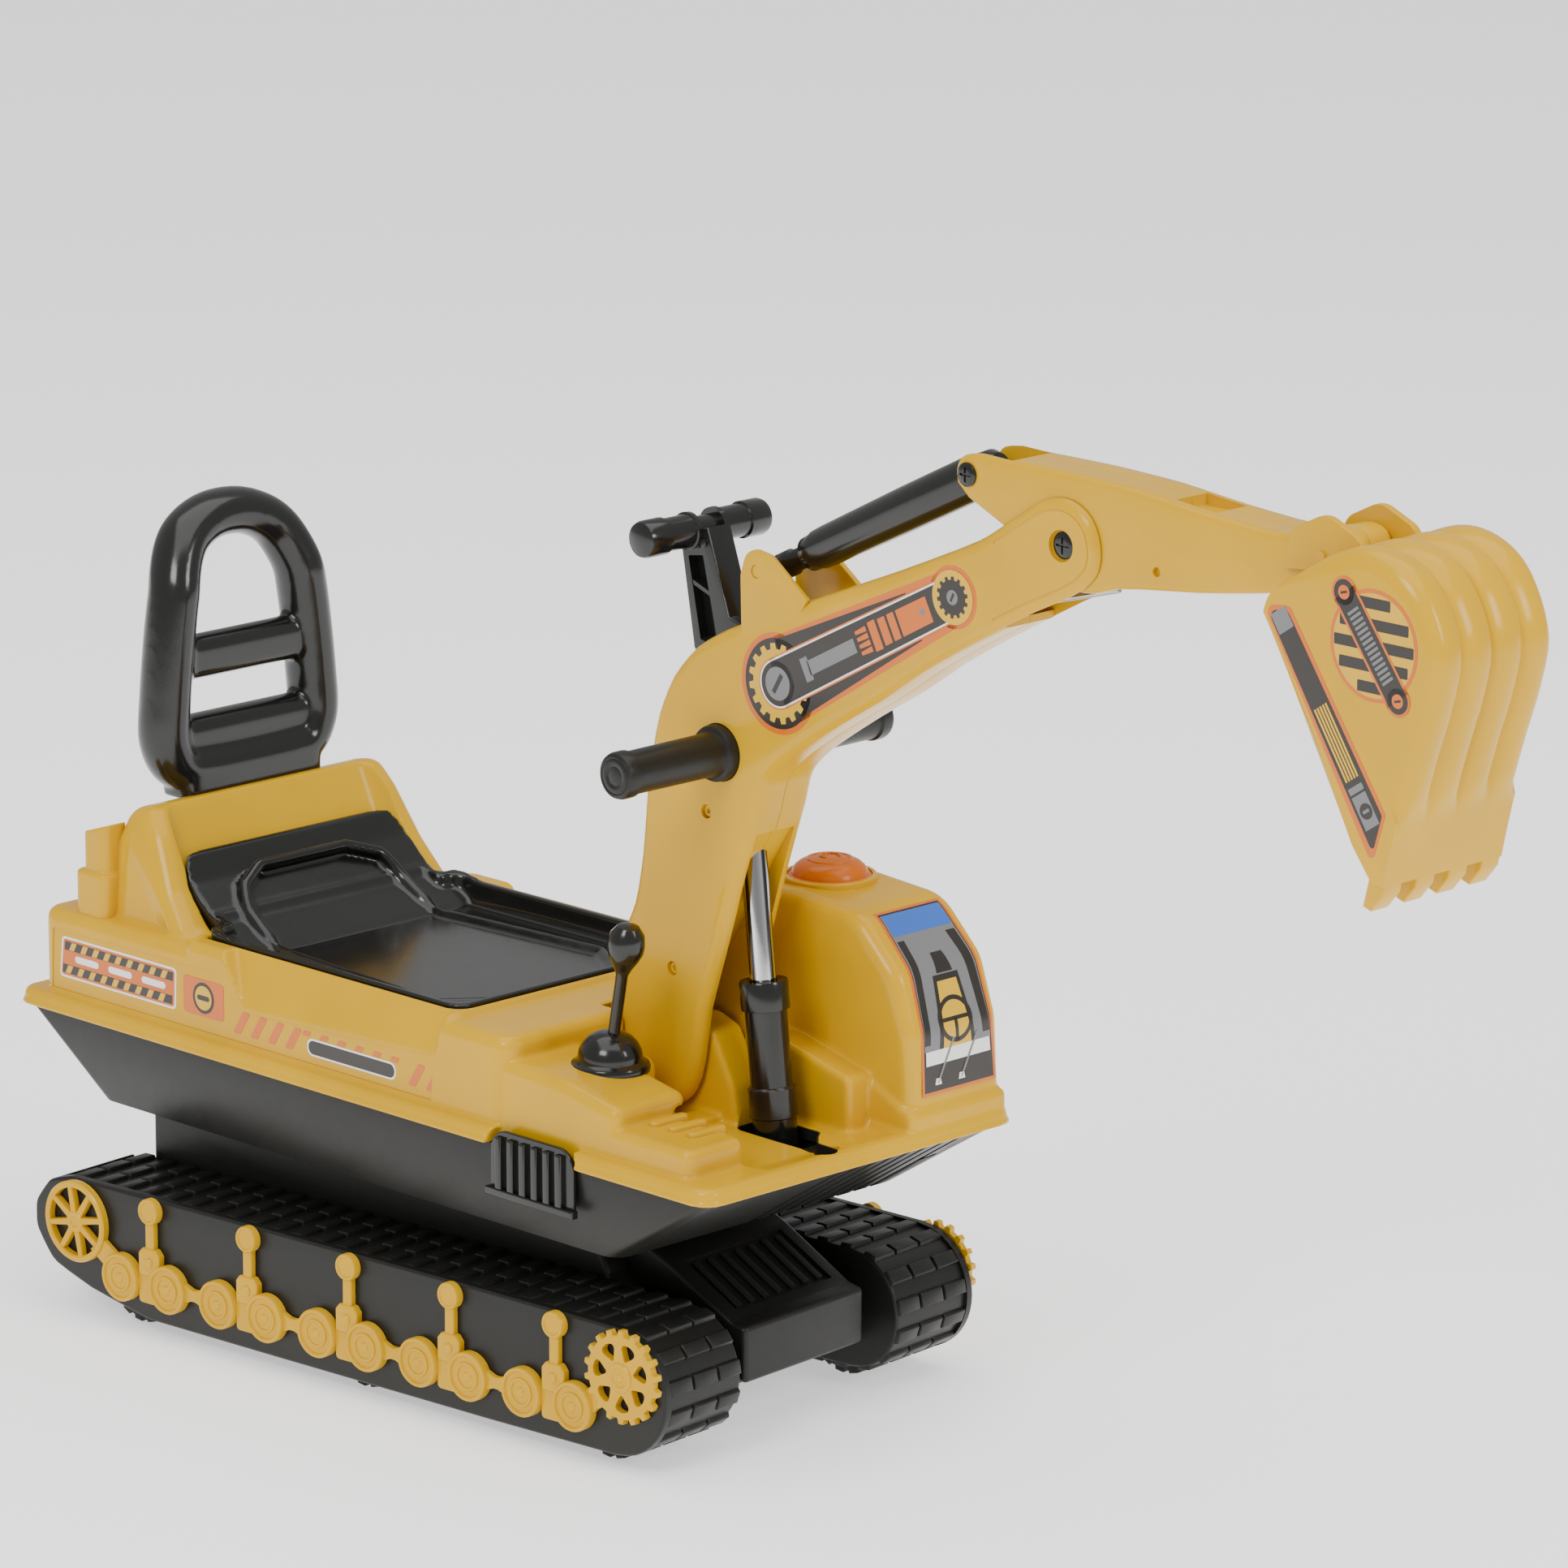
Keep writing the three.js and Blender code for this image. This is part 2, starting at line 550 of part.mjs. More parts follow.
add(
  body,
  "exhaust_stack",
  cut(
    join(
      block(-273, -246, -119.5, -96, SIDE_TOP + GAP, 288, 6, 2),
      cut(
        block(-268, -249, -116.5, -98, 285, 322, 6),
        across([[-280, 306], [-240, 322], [-240, 330], [-280, 330]], -125, -80),
      ),
    ),
    humpForm(-0.4),
  ),
  "yellow",
);
add(
  body,
  "sound_button",
  cut(
    turned(
      [[0, 324], [26.6, 324], [26.6, 328], [25.2, 328], [25.2, 344], [23, 350.5], [17, 355], [8, 357.5], [0, 358]],
      [...BUTTON, 0], [...BUTTON, 1], 24,
    ),
    bar([...BUTTON, 315], [...BUTTON, 342], 20),
  ),
  "orange",
);
add(body, "sound_box", block(196, 240, 84, 124, 262, 316, 5), "black");

// ---- side levers: a stick and the dome at its foot, rocking in a round hole ----
const leaning = ({ at: [x, y, z], lean }, profile, sides) => turned(profile, [x, y, z], [x + lean, y, z + 1], sides);
const onArc = (r, angles) => angles.map((t) => [r * Math.sin(t), r * Math.cos(t)]);
for (const [name, lever] of Object.entries(LEVERS)) {
  const outside = onArc(DOME_R, [0.24, 0.65, 1.1, 1.55, 1.8]);
  const inside = onArc(DOME_R - 3, [1.8, 1.2, 0.7, 0.29]);
  const stick = [[0, -8], [7, -6], [8, 0], [6, 7], [3.6, 9], [3.6, 64], [9, 68], [12, 76], [11, 85], [6, 91], [0, 92]];
  add(body, name + "_lever_dome", leaning(lever, [...outside, ...inside, outside[0]], 16), "black");
  add(body, name + "_lever", leaning(lever, stick, 14), "black");
}

// ---- ribbed foot vents in the notches of the rim ----
function footVent() {
  const plate = across(rounded([[143, 160], [219, 160], [219, 202.5, 14], [143, 202.5, 14]], 4), -137, -133);
  const ribs = Array.from({ length: 6 }, (_, k) => across(rectangle(150 + k * 11, 155 + k * 11, 164, 198), -140, -134));
  return join(plate, ...ribs);
}
add(body, "right_foot_vent", footVent(), "black");
add(body, "left_foot_vent", mirrored(footVent()), "black");

// ---- boom: two moulded halves ----
const BOOM = [
  [137, 255], [139, 268], [146, 290], [148, 313], [156, 331], [163, 364], [168, 412], [178, 457], [191, 483],
  [212, 505], [240, 521], [262, 530], [317, 553], [386, 581], [454, 611], [490, 634], [510, 645.5], [530, 647.5],
  [546, 639], [554, 622], [552, 606], [541, 594], [502, 574], [472, 558], [439, 540], [405, 520], [371, 497],
  [336, 476], [308, 458], [287, 443], [272, 428], [265, 406], [251, 366], [236, 318], [221, 272], [212, 226],
  [203, 211], [187, 201.5], [167, 202], [150, 212], [140, 230],
];
const EAR = rounded([[255, 520], [254, 558, 6], [260, 577, 12], [280, 574, 10], [312, 551], [300, 530]], 3);
const boomOutside = (side) =>
  join(roundedPlate(BOOM, side * (GAP / 2), side * BOOM_HALF_W, 7), across(EAR, Math.min(side * 21.5, side * 26), Math.max(side * 21.5, side * 26)));
function boomHalf(side) {
  const span = (a, b) => [Math.min(side * a, side * b), Math.max(side * a, side * b)];
  const hollow = inset(BOOM, 4.2);
  const above = (z) => [[100, z], [700, z], [700, 760], [100, 760]];
  return cut(
    boomOutside(side),
    across(hollow, ...span(-1, 21.5)).intersect(across(above(398), -30, 30)),
    across(hollow, ...span(-1, 16.6)),
    across([[150, 180], [300, 180], [300, 383], [258, 392], [252, 383], [200, 300], [150, 268], [130, 268], [120, 180]], ...span(-1, 16.6)),
    across([[476, 540], [476, 600], [456, 600], [456, 700], [600, 700], [600, 540]], ...span(-1, 21.5)),
    across([[180, 469], [268, 492], [268, 560], [180, 560]], ...span(-1, 12)),
    pinY(BOOM_PIVOT, -30, 30, PIN_HOLE_R),
    pinY(BAR_POS, -30, 30, 11.3),
    pinY(CYL_TOP, -30, 30, PIN_HOLE_R),
    pinY(LEVER_PIVOT, -30, 30, PIN_HOLE_R),
    pinY(BOOM_EAR, -30, 30, PIN_HOLE_R),
    pinY(ARM_PIVOT, -30, 30, PIN_HOLE_R),
    pinY(ARM_PIVOT, ...span(23.5, 30), 9.5),
  );
}
add(body, "boom_right_half", boomHalf(-1), "yellow");
add(body, "boom_left_half", boomHalf(1), "yellow");
add(body, "boom_pivot_pin", pinY(BOOM_PIVOT, -24.5, 24.5, PIN_R), "steel");
add(body, "handle_bar", pinY(BAR_POS, -108, 108, 11), "steel");
function handGrip(side) {
  const [x, z] = BAR_POS;
  return cut(
    turned(
      [[0, 26.3], [17.6, 26.3], [17.6, 31], [14.4, 33.5], [13.8, 40], [13.8, 104], [14.9, 106], [14.9, 112], [11.5, 116], [0, 116]],
      [x, 0, z], [x, side, z], 24,
    ),
    pinY(BAR_POS, Math.min(side * 20, side * 109), Math.max(side * 20, side * 109), 11.3),
  );
}
add(body, "right_hand_grip", handGrip(-1), "black");
add(body, "left_hand_grip", handGrip(1), "black");

// ---- boom cylinder ----
const at = ([x, z], y = 0) => [x, y, z];
const boomCylinderLength = Math.hypot(CYL_TOP[0] - CYL_BASE[0], CYL_TOP[1] - CYL_BASE[1]);
add(
  body,
  "boom_cylinder_barrel",
  cut(
    join(
      turned([[0, -6], [9, -6], [12, -2], [13.4, 3], [13.4, 46], [14.4, 48], [14.4, 108], [14, 110], [15.3, 112], [15.3, 129], [0, 129]], at(CYL_BASE), at(CYL_TOP)),
    ),
    turned([[0, 12], [8.9, 12], [8.9, 131], [0, 131]], at(CYL_BASE), at(CYL_TOP)),
    pinY(CYL_BASE, -20, 20, PIN_HOLE_R),
  ),
  "black",
);
const boomRod = cut(
  turned([[0, 47], [8.5, 47], [8.5, boomCylinderLength - 16], [7.5, boomCylinderLength - 12], [7.5, boomCylinderLength + 8], [0, boomCylinderLength + 8]], at(CYL_BASE), at(CYL_TOP)),
  pinY(CYL_TOP, -20, 20, PIN_R + 2.2),
);
add(body, "boom_cylinder_rod", boomRod, "steel");
add(body, "boom_cylinder_base_pin", pinY(CYL_BASE, -22, 22, PIN_R, 16), "steel");
add(body, "boom_cylinder_top_pin", pinY(CYL_TOP, -24, 24, PIN_R, 16), "steel");

// ---- arm: two moulded halves ----
const ARM = [
  [433, 642], [432, 651], [436, 658.5], [444, 661.5], [470, 662], [530, 662], [581, 660], [633, 655], [690, 652],
  [715, 656], [730, 659.5], [741, 656], [745, 645], [741, 634], [728, 628], [690, 616], [630, 606], [563, 597.5],
  [545, 592], [522, 592], [505, 598], [490, 609], [470, 622],
];
function armHalf(side) {
  const span = (a, b) => [Math.min(side * a, side * b), Math.max(side * a, side * b)];
  return cut(
    roundedPlate(ARM, side * (GAP / 2), side * ARM_HALF_W, 5),
    across(inset(ARM, 4), ...span(-1, 16.5)),
    across([[420, 600], [476, 631], [478, 700], [420, 700]], ...span(-1, 16.5)),
    across([[606, 651.5], [640, 649], [638, 680], [600, 680]], ...span(-1, 14)).intersect(across([[600, 640], [650, 640], [650, 690], [600, 690]], -20, 20)),
    across([[520, 580], [580, 580], [580, 606], [520, 606]], ...span(-1, 3.5)),
    pinY(ARM_EAR, -30, 30, PIN_HOLE_R),
    pinY(ARM_PIVOT, -30, 30, PIN_HOLE_R),
    pinY(BUCKET_PIVOT, -30, 30, PIN_HOLE_R),
  );
}
add(body, "arm_right_half", armHalf(-1), "yellow");
add(body, "arm_left_half", armHalf(1), "yellow");
const screw = ([x, z], half, head) =>
  join(
    turned([[0, 0], [PIN_R, 0], [PIN_R, 2 * half - 4], [0, 2 * half - 4]], [x, half - 4, z], [x, -half, z], 16),
    turned([[0, 0], [head, 0], [head, 1.8], [head * 0.6, 3.2], [0, 3.6]], [x, -half, z], [x, -half - 4, z], 20),
  );
add(body, "arm_pivot_screw", screw(ARM_PIVOT, 23.8, 7), "black");
add(body, "arm_cylinder_screw", screw(ARM_EAR, 20.9, 7.4), "black");

// ---- arm cylinder ----
const armCylinderLength = Math.hypot(ARM_EAR[0] - BOOM_EAR[0], ARM_EAR[1] - BOOM_EAR[1]);
add(
  body,
  "arm_cylinder_rod",
  cut(
    turned([[0, -8], [7, -8], [8.5, -4], [8.5, 8], [7, 10], [7, 120], [0, 120]], at(BOOM_EAR), at(ARM_EAR), 20),
    pinY(BOOM_EAR, -20, 20, PIN_HOLE_R),
  ),
  "steel",
);
add(
  body,
  "arm_cylinder_tube",
  cut(
    turned(
      [[0, 24], [11.2, 24], [12, 32], [14, 120], [14, armCylinderLength - 12], [12, armCylinderLength + 4], [8, armCylinderLength + 9], [0, armCylinderLength + 9]],
      at(BOOM_EAR), at(ARM_EAR),
    ),
    turned([[0, 20], [7.4, 20], [7.4, 170], [0, 170]], at(BOOM_EAR), at(ARM_EAR), 20),
    pinY(ARM_EAR, -20, 20, PIN_R + 4.5),
  ),
  "black",
);
add(body, "arm_cylinder_pin", pinY(BOOM_EAR, -25, 25, PIN_R, 16), "steel");

// ---- T-lever in the boom's elbow, and the rod it pulls ----
const LEVER = rounded([
  [184, 573, 0], [197, 500, 0], [222, 462, 4], [228, 454, 6], [245, 455, 8], [251, 470, 6], [261, 506, 6], [255, 520, 6],
  [238, 521, 0], [228, 524, 0], [209, 578, 0],
], 2);
add(
  body,
  "t_lever",
  cut(
    join(across(LEVER, -10, 10), bar([LEVER_GRIP[0], -46, LEVER_GRIP[1]], [LEVER_GRIP[0], 46, LEVER_GRIP[1]], 8)),
    across([[194, 552], [202, 510], [208, 510], [200, 552]], -12, -3),
    across([[194, 552], [202, 510], [208, 510], [200, 552]], 3, 12),
    pinY(LEVER_PIVOT, -20, 20, PIN_HOLE_R),
    across([[238, 488], [280, 488], [280, 540], [234, 540]], -3.5, 3.5),
  ),
  "black",
);
const gripEnd = (side) =>
  cut(
    turned(
      [[0, 11], [10.6, 11], [10.6, 34], [11.8, 35], [11.8, 50], [9.5, 53], [0, 53]],
      at(LEVER_GRIP), [LEVER_GRIP[0], side, LEVER_GRIP[1]], 20,
    ),
    pinY(LEVER_GRIP, Math.min(side * 5, side * 47), Math.max(side * 5, side * 47), 8.3),
  );
add(body, "t_lever_right_grip", gripEnd(-1), "black");
add(body, "t_lever_left_grip", gripEnd(1), "black");
add(body, "t_lever_pin", pinY(LEVER_PIVOT, -24, 24, PIN_R, 16), "steel");
add(body, "bucket_pull_rod", bar(at(LINK_REAR), [LINK_FRONT[0] - 6, 0, LINK_FRONT[1] - 1.7], 2, 10), "steel");

// ---- bucket ----
const BUCKET = [
  [709, 614], [713, 624], [735, 641], [758, 653], [780, 659.5], [800, 657], [818, 647], [831, 629], [839, 604],
  [834, 576], [824, 545], [815, 515], [807, 482], [804, 468], [796, 468], [780, 489], [745, 544],
];
const BUCKET_INSIDE = [
  [700, 607], [716, 618], [737, 636], [760, 648], [780, 655], [798, 652.5], [814.5, 643], [827, 626.5], [834.5, 603.5],
  [829.6, 577], [819.6, 546.5], [810.6, 516], [802, 482], [799, 460], [780, 440], [690, 560],
];
const bracketEar = across(rounded([[700, 634], [706, 658, 14], [732, 671, 16], [758, 660, 12], [770, 640, 0]], 3), 21.2, 26.5);
function bucket() {
  const tooth = (y) =>
    across([[794, 478], [806, 478], [803, 463], [794, 452], [788, 454], [791, 466]], y - 8, y + 8);
  const body = join(
    roundedPlate(BUCKET, -0.01, -BUCKET_HALF_W, 3),
    roundedPlate(BUCKET, -0.02, BUCKET_HALF_W, 3),
    ...[-43, -14.3, 14.3, 43].map(tooth),
    bothSides(bracketEar),
  );
  return cut(
    body,
    across(BUCKET_INSIDE, -BUCKET_HALF_W + 4, BUCKET_HALF_W - 4),
    across([[690, 600], [752, 600], [752, 700], [690, 700]], -21.2, 21.2),
    pinY(BUCKET_PIVOT, -40, 40, PIN_HOLE_R),
  );
}
add(body, "bucket", bucket(), "yellow");
add(body, "bucket_pin", pinY(BUCKET_PIVOT, -28, 28, PIN_R, 16), "steel");

export default digger;
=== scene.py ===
"""Ride-on digger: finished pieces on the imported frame, in a pale studio. Outlines are in millimetres
from the slewing axis at floor level: X towards the bucket, Y to the left, Z up."""

import json
import math

import bmesh
import bpy
from mathutils import Matrix, Vector


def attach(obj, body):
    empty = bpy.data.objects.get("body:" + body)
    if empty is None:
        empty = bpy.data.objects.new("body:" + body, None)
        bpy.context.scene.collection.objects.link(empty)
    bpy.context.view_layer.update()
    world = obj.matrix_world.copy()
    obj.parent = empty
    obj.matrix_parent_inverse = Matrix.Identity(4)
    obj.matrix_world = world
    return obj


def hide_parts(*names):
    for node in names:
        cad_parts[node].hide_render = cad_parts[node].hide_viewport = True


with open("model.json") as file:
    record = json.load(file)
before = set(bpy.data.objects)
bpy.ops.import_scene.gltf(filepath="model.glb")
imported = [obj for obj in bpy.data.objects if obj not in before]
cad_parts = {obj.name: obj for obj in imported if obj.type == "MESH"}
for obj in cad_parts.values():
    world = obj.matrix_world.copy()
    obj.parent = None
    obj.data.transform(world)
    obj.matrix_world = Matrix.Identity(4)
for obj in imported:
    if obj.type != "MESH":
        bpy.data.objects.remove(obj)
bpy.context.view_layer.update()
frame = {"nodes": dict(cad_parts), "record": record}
JOINTS = {joint["name"]: joint for joint in frame["record"]["behaviour"]["joints"]}
SLEW_AT = JOINTS["slew"]["pos_m"]
SIDEWAYS = JOINTS["boom_lift"]["axis"]
SLEW_TURN = math.atan2(-SIDEWAYS[0], SIDEWAYS[1])
MM = Matrix.Scale(0.001, 4)
BASE = Matrix.Translation((SLEW_AT[0], SLEW_AT[1], 0)) @ MM
BODY = Matrix.Translation((SLEW_AT[0], SLEW_AT[1], 0)) @ Matrix.Rotation(SLEW_TURN, 4, "Z") @ MM


def pivot(joint):
    """The X and Z of a body joint in millimetres from the slewing axis."""
    at = BODY.inverted() @ Vector(JOINTS[joint]["pos_m"])
    return at.x, at.z


BARREL_FOOT = pivot("boom_barrel_swing")
ARM_PIVOT = pivot("arm_swing")
BOOM_EAR = pivot("arm_rod_swing")
BAR_AT = (236, 442)
ROD_EYE = (237.5, 398)
ARM_EAR = (443, 649)
GRIP_AT = (193, 574)
LINK_START = (250, 0, 509)
LINK_END = (549, 0, 592.3)
BUTTON_AT = (216, 92)
REAR_HUB = (-235, 66.5)
FRONT_HUB = (250, 65)
WHEEL_X = {"front": 221, "middle": 8, "rear": -196}
WHEEL_RADIUS = 31
SIDES = (("right", -1), ("left", 1))

# ---- materials ----
GRAIN_MM = 1.1


def plastic(name, colour, rough, shine=0.5, grain=0.06, drift=0.05, metal=0.0, painted_reflections=False):
    """Moulded plastic or plated metal: fine grain, slow flow marks, edges rubbed a little paler, and,
    where asked, painted reflections: grey stripes set by the viewing angle.
    """
    material = bpy.data.materials.new(name)
    material.use_nodes = True
    tree = material.node_tree
    link = tree.links.new
    shader = tree.nodes["Principled BSDF"]
    shader.inputs["Specular IOR Level"].default_value = shine
    shader.inputs["Metallic"].default_value = metal

    def node(kind, **values):
        """A new node; an underscore in a key stands for a space in the socket's name."""
        made = tree.nodes.new("ShaderNode" + kind)
        for key, value in values.items():
            made.inputs[key.replace("_", " ")].default_value = value
        return made

    def ramp(stops):
        """A colour ramp; its first two stops are the ones that the node starts with."""
        made = node("ValToRGB")
        elements = made.color_ramp.elements
        for element, (position, tint) in zip(elements, stops):
            element.position = position
            element.color = (*tint, 1)
        for position, tint in stops[2:]:
            elements.new(position).color = (*tint, 1)
        return made

    def scaled(share, plus=0.0):
        return [min(c * share + plus, 1) for c in colour]

    place = node("TexCoord").outputs["Object"]
    flow = node("TexNoise", Scale=14.0, Detail=3.0)
    fine = node("TexNoise", Scale=1000.0 / GRAIN_MM, Detail=2.0)
    smear = node("TexNoise", Scale=70.0, Detail=5.0, Roughness=0.6)
    for texture in (flow, fine, smear):
        link(place, texture.inputs["Vector"])

    shade = ramp([(0.3, scaled(1 - drift)), (0.7, scaled(1 + drift))])
    link(flow.outputs["Fac"], shade.inputs["Fac"])
    worn = node("MapRange", From_Min=0.53, From_Max=0.62, To_Max=0.18)
    link(node("NewGeometry").outputs["Pointiness"], worn.inputs["Value"])
    paler = node("Mix")
    paler.data_type = "RGBA"
    paler.inputs["B"].default_value = (*scaled(1.25, 0.02), 1)
    link(worn.outputs["Result"], paler.inputs["Factor"])
    link(shade.outputs["Color"], paler.inputs["A"])
    # painted reflection: grey bands chosen by the facing angle are multiplied into the colour, standing
    # in for reflected studio lights
    if painted_reflections:
        reflection_greys = [
            (0.0, 0.5), (1.0, 0.3), (0.12, 1.0), (0.2, 0.12), (0.36, 0.06), (0.44, 0.9), (0.6, 0.7),
            (0.7, 0.1),
        ]
        bands = ramp([(at, (grey, grey, grey)) for at, grey in reflection_greys])
        link(node("LayerWeight", Blend=0.5).outputs["Facing"], bands.inputs["Fac"])
        painted_reflection = node("Mix")
        painted_reflection.data_type = "RGBA"
        painted_reflection.blend_type = "MULTIPLY"
        painted_reflection.inputs["Factor"].default_value = 1.0
        link(paler.outputs["Result"], painted_reflection.inputs["A"])
        link(bands.outputs["Color"], painted_reflection.inputs["B"])
        paler = painted_reflection
    link(paler.outputs["Result"], shader.inputs["Base Color"])

    gloss = node("MapRange", To_Min=rough * 0.8, To_Max=rough * 1.25)
    link(smear.outputs["Fac"], gloss.inputs["Value"])
    link(gloss.outputs["Result"], shader.inputs["Roughness"])
    bump = node("Bump", Strength=grain, Distance=0.0004)
    link(fine.outputs["Fac"], bump.inputs["Height"])
    wave = node("Bump", Strength=0.12, Distance=0.002)
    link(flow.outputs["Fac"], wave.inputs["Height"])
    link(bump.outputs["Normal"], wave.inputs["Normal"])
    link(wave.outputs["Normal"], shader.inputs["Normal"])
    return material


YELLOW = plastic("yellow_plastic", (0.64, 0.355, 0.0), 0.19, shine=0.25)
GLOSS_BLACK = plastic("gloss_black_plastic", (0.008, 0.008, 0.007), 0.17, shine=0.5)
SATIN_BLACK = plastic("satin_black_plastic", (0.012, 0.012, 0.01), 0.36, grain=0.14, shine=0.28)
ORANGE = plastic("orange_plastic", (0.62, 0.14, 0.0), 0.24, shine=0.28)
# the chrome carries painted reflection stripes in its colour
CHROME = plastic("chrome", (0.72, 0.72, 0.74), 0.08, metal=1.0, grain=0.02, drift=0.02, painted_reflections=True)
STEEL = plastic("bright_steel", (0.5, 0.5, 0.51), 0.3, metal=1.0, grain=0.03, drift=0.03)
PRINTS = {
    "orange": ((0.62, 0.13, 0.0), 0.32), "black": ((0.016, 0.012, 0.008), 0.3),
    "grey": ((0.16, 0.16, 0.165), 0.3), "pale": ((0.85, 0.84, 0.8), 0.3),
    "gold": ((0.68, 0.39, 0.0), 0.3), "sky": ((0.03, 0.12, 0.5), 0.3),
}
INK = {
    ink: plastic(ink + "_print", colour, rough, drift=0.03) for ink, (colour, rough) in PRINTS.items()
}
SLOT = {
    YELLOW: "yellow_plastic", GLOSS_BLACK: "black_plastic", SATIN_BLACK: "black_plastic",
    ORANGE: "orange_plastic", CHROME: "steel", STEEL: "steel",
}

# ---- outlines ----


def rounded(corners, steps=6):
    """An outline whose corners (a, b, radius) are rounded by arcs."""
    out = []
    for i, corner in enumerate(corners):
        here = Vector(corner[:2])
        radius = corner[2] if len(corner) > 2 else 0
        if not radius:
            out.append(tuple(here))
            continue
        a = (Vector(corners[i - 1][:2]) - here).normalized()
        b = (Vector(corners[(i + 1) % len(corners)][:2]) - here).normalized()
        half = math.acos(max(-1, min(1, a.dot(b)))) / 2
        centre = here + (a + b).normalized() * (radius / math.sin(half))
        start = here + a * (radius / math.tan(half)) - centre
        end = here + b * (radius / math.tan(half)) - centre
        turn = math.atan2(start.x * end.y - start.y * end.x, start.dot(end))
        for k in range(steps + 1):
            out.append(tuple(centre + Matrix.Rotation(turn * k / steps, 2) @ start))
    return out


def rectangle(a0, a1, b0, b1, radius=0.0, steps=6):
    corners = [(a0, b0), (a1, b0), (a1, b1), (a0, b1)]
    return rounded([(a, b, radius) for a, b in corners], steps)


def polar(centre, radius, turn):
    return centre[0] + radius * math.cos(turn), centre[1] + radius * math.sin(turn)


def circle(a, b, radius, sides=48):
    return [polar((a, b), radius, 2 * math.pi * k / sides) for k in range(sides)]


def toothed(centre, count, steps):
    """A wheel's outline; steps are (share of a tooth's turn, radius)."""
    corners = [(k + share, radius) for k in range(count) for share, radius in steps]
    return [polar(centre, radius, 2 * math.pi * at / count) for at, radius in corners]


def spline(points, per=4):
    """A closed smooth curve through the points, without overshoot beside long straight runs."""
    line = [Vector(p) for p in points]
    ways = []
    for i, here in enumerate(line):
        e = here - line[i - 1]
        f = line[(i + 1) % len(line)] - here
        ways.append((e / e.length_squared + f / f.length_squared).normalized())
    out = []
    for i, here in enumerate(line):
        n = (i + 1) % len(line)
        pull = min((line[n] - here).length, 25)
        for k in range(per):
            t = k / per
            p = here * (2 * t**3 - 3 * t**2 + 1) + line[n] * (3 * t**2 - 2 * t**3)
            leave, arrive = pull * (t**3 - 2 * t**2 + t), pull * (t**3 - t**2)
            out.append(tuple(p + ways[i] * leave + ways[n] * arrive))
    return out


def area(outline):
    return sum(a[0] * b[1] - b[0] * a[1] for a, b in zip(outline, outline[1:] + outline[:1])) / 2


def inset(outline, depth):
    """The outline moved inwards; depth is one number or one for each point."""
    line = [Vector(p) for p in outline]
    sign = 1 if area(outline) > 0 else -1
    out = []
    for i, here in enumerate(line):
        e = (here - line[i - 1]).normalized()
        f = (line[(i + 1) % len(line)] - here).normalized()
        normal = Vector((-e.y - f.y, e.x + f.x)).normalized() * sign
        fit = max(0.5, normal.dot(Vector((-e.y, e.x)) * sign))
        d = depth[i] if isinstance(depth, list) else depth
        out.append(tuple(here + normal * (d / fit)))
    return out


# ---- meshes ----


def placed(mesh):
    item = bpy.data.objects.new("piece", mesh)
    bpy.context.scene.collection.objects.link(item)
    return item


def made(points, faces):
    mesh = bpy.data.meshes.new("piece")
    mesh.from_pydata([tuple(p) for p in points], [], faces)
    shape = bmesh.new()
    shape.from_mesh(mesh)
    bmesh.ops.remove_doubles(shape, verts=shape.verts, dist=0.001)
    bmesh.ops.recalc_face_normals(shape, faces=shape.faces)
    shape.to_mesh(mesh)
    shape.free()
    return placed(mesh)


def lofted(rings, looped=False):
    """A closed skin through rings of points, each ring with the same count."""
    count = len(rings[0])
    faces = []
    spans = len(rings) if looped else len(rings) - 1
    for k in range(spans):
        n = (k + 1) % len(rings)
        for i in range(count):
            j = (i + 1) % count
            faces.append((k * count + i, k * count + j, n * count + j, n * count + i))
    if not looped:
        faces.append(tuple(range(count)))
        faces.append(tuple(range((len(rings) - 1) * count, len(rings) * count)))
    return made([p for ring in rings for p in ring], faces)


def prism(outline, t0, t1, r0=0.0, r1=0.0, along="y", steps=5):
    """An outline drawn out along an axis, with its first and last edges rounded."""

    def edge(r, t, sign):
        if not r:
            return [(0, t)]
        turns = [math.pi / 2 * k / steps for k in range(steps + 1)]
        return [(r * (1 - math.sin(q)), t + sign * (r * (1 - math.cos(q)))) for q in turns]

    stations = edge(r0, t0, 1) + edge(r1, t1, -1)[::-1]
    if along == "y":
        return lofted([[(a, t, b) for a, b in inset(outline, d)] for d, t in stations])
    return lofted([[(a, b, t) for a, b in inset(outline, d)] for d, t in stations])


def block(x0, x1, y0, y1, z0, z1, corner, edge=0.0):
    return prism(rectangle(x0, x1, y0, y1, corner), z0, z1, 0, edge, "z")


def turned(profile, start, end, sides=40):
    """A profile of (radius, height) turned about the line from start to end."""
    start = Vector(start)
    way = (Vector(end) - start).normalized()
    turn = way.to_track_quat("Z", "Y").to_matrix()
    rings = []
    for k in range(sides):
        q = 2 * math.pi * k / sides
        rings.append([start + turn @ Vector((r * math.cos(q), r * math.sin(q), h)) for r, h in profile])
    return lofted(rings, looped=True)


def rod(start, end, radius, sides=32, edge=0.0):
    length = (Vector(end) - Vector(start)).length
    inner, end_edge = radius - edge, length - edge
    profile = [(0, 0), (inner, 0), (radius, edge), (radius, end_edge), (inner, length), (0, length)]
    return turned(profile, start, end, sides)


def pin(at, y0, y1, radius, sides=32, edge=0.0):
    return rod((at[0], y0, at[1]), (at[0], y1, at[1]), radius, sides, edge)


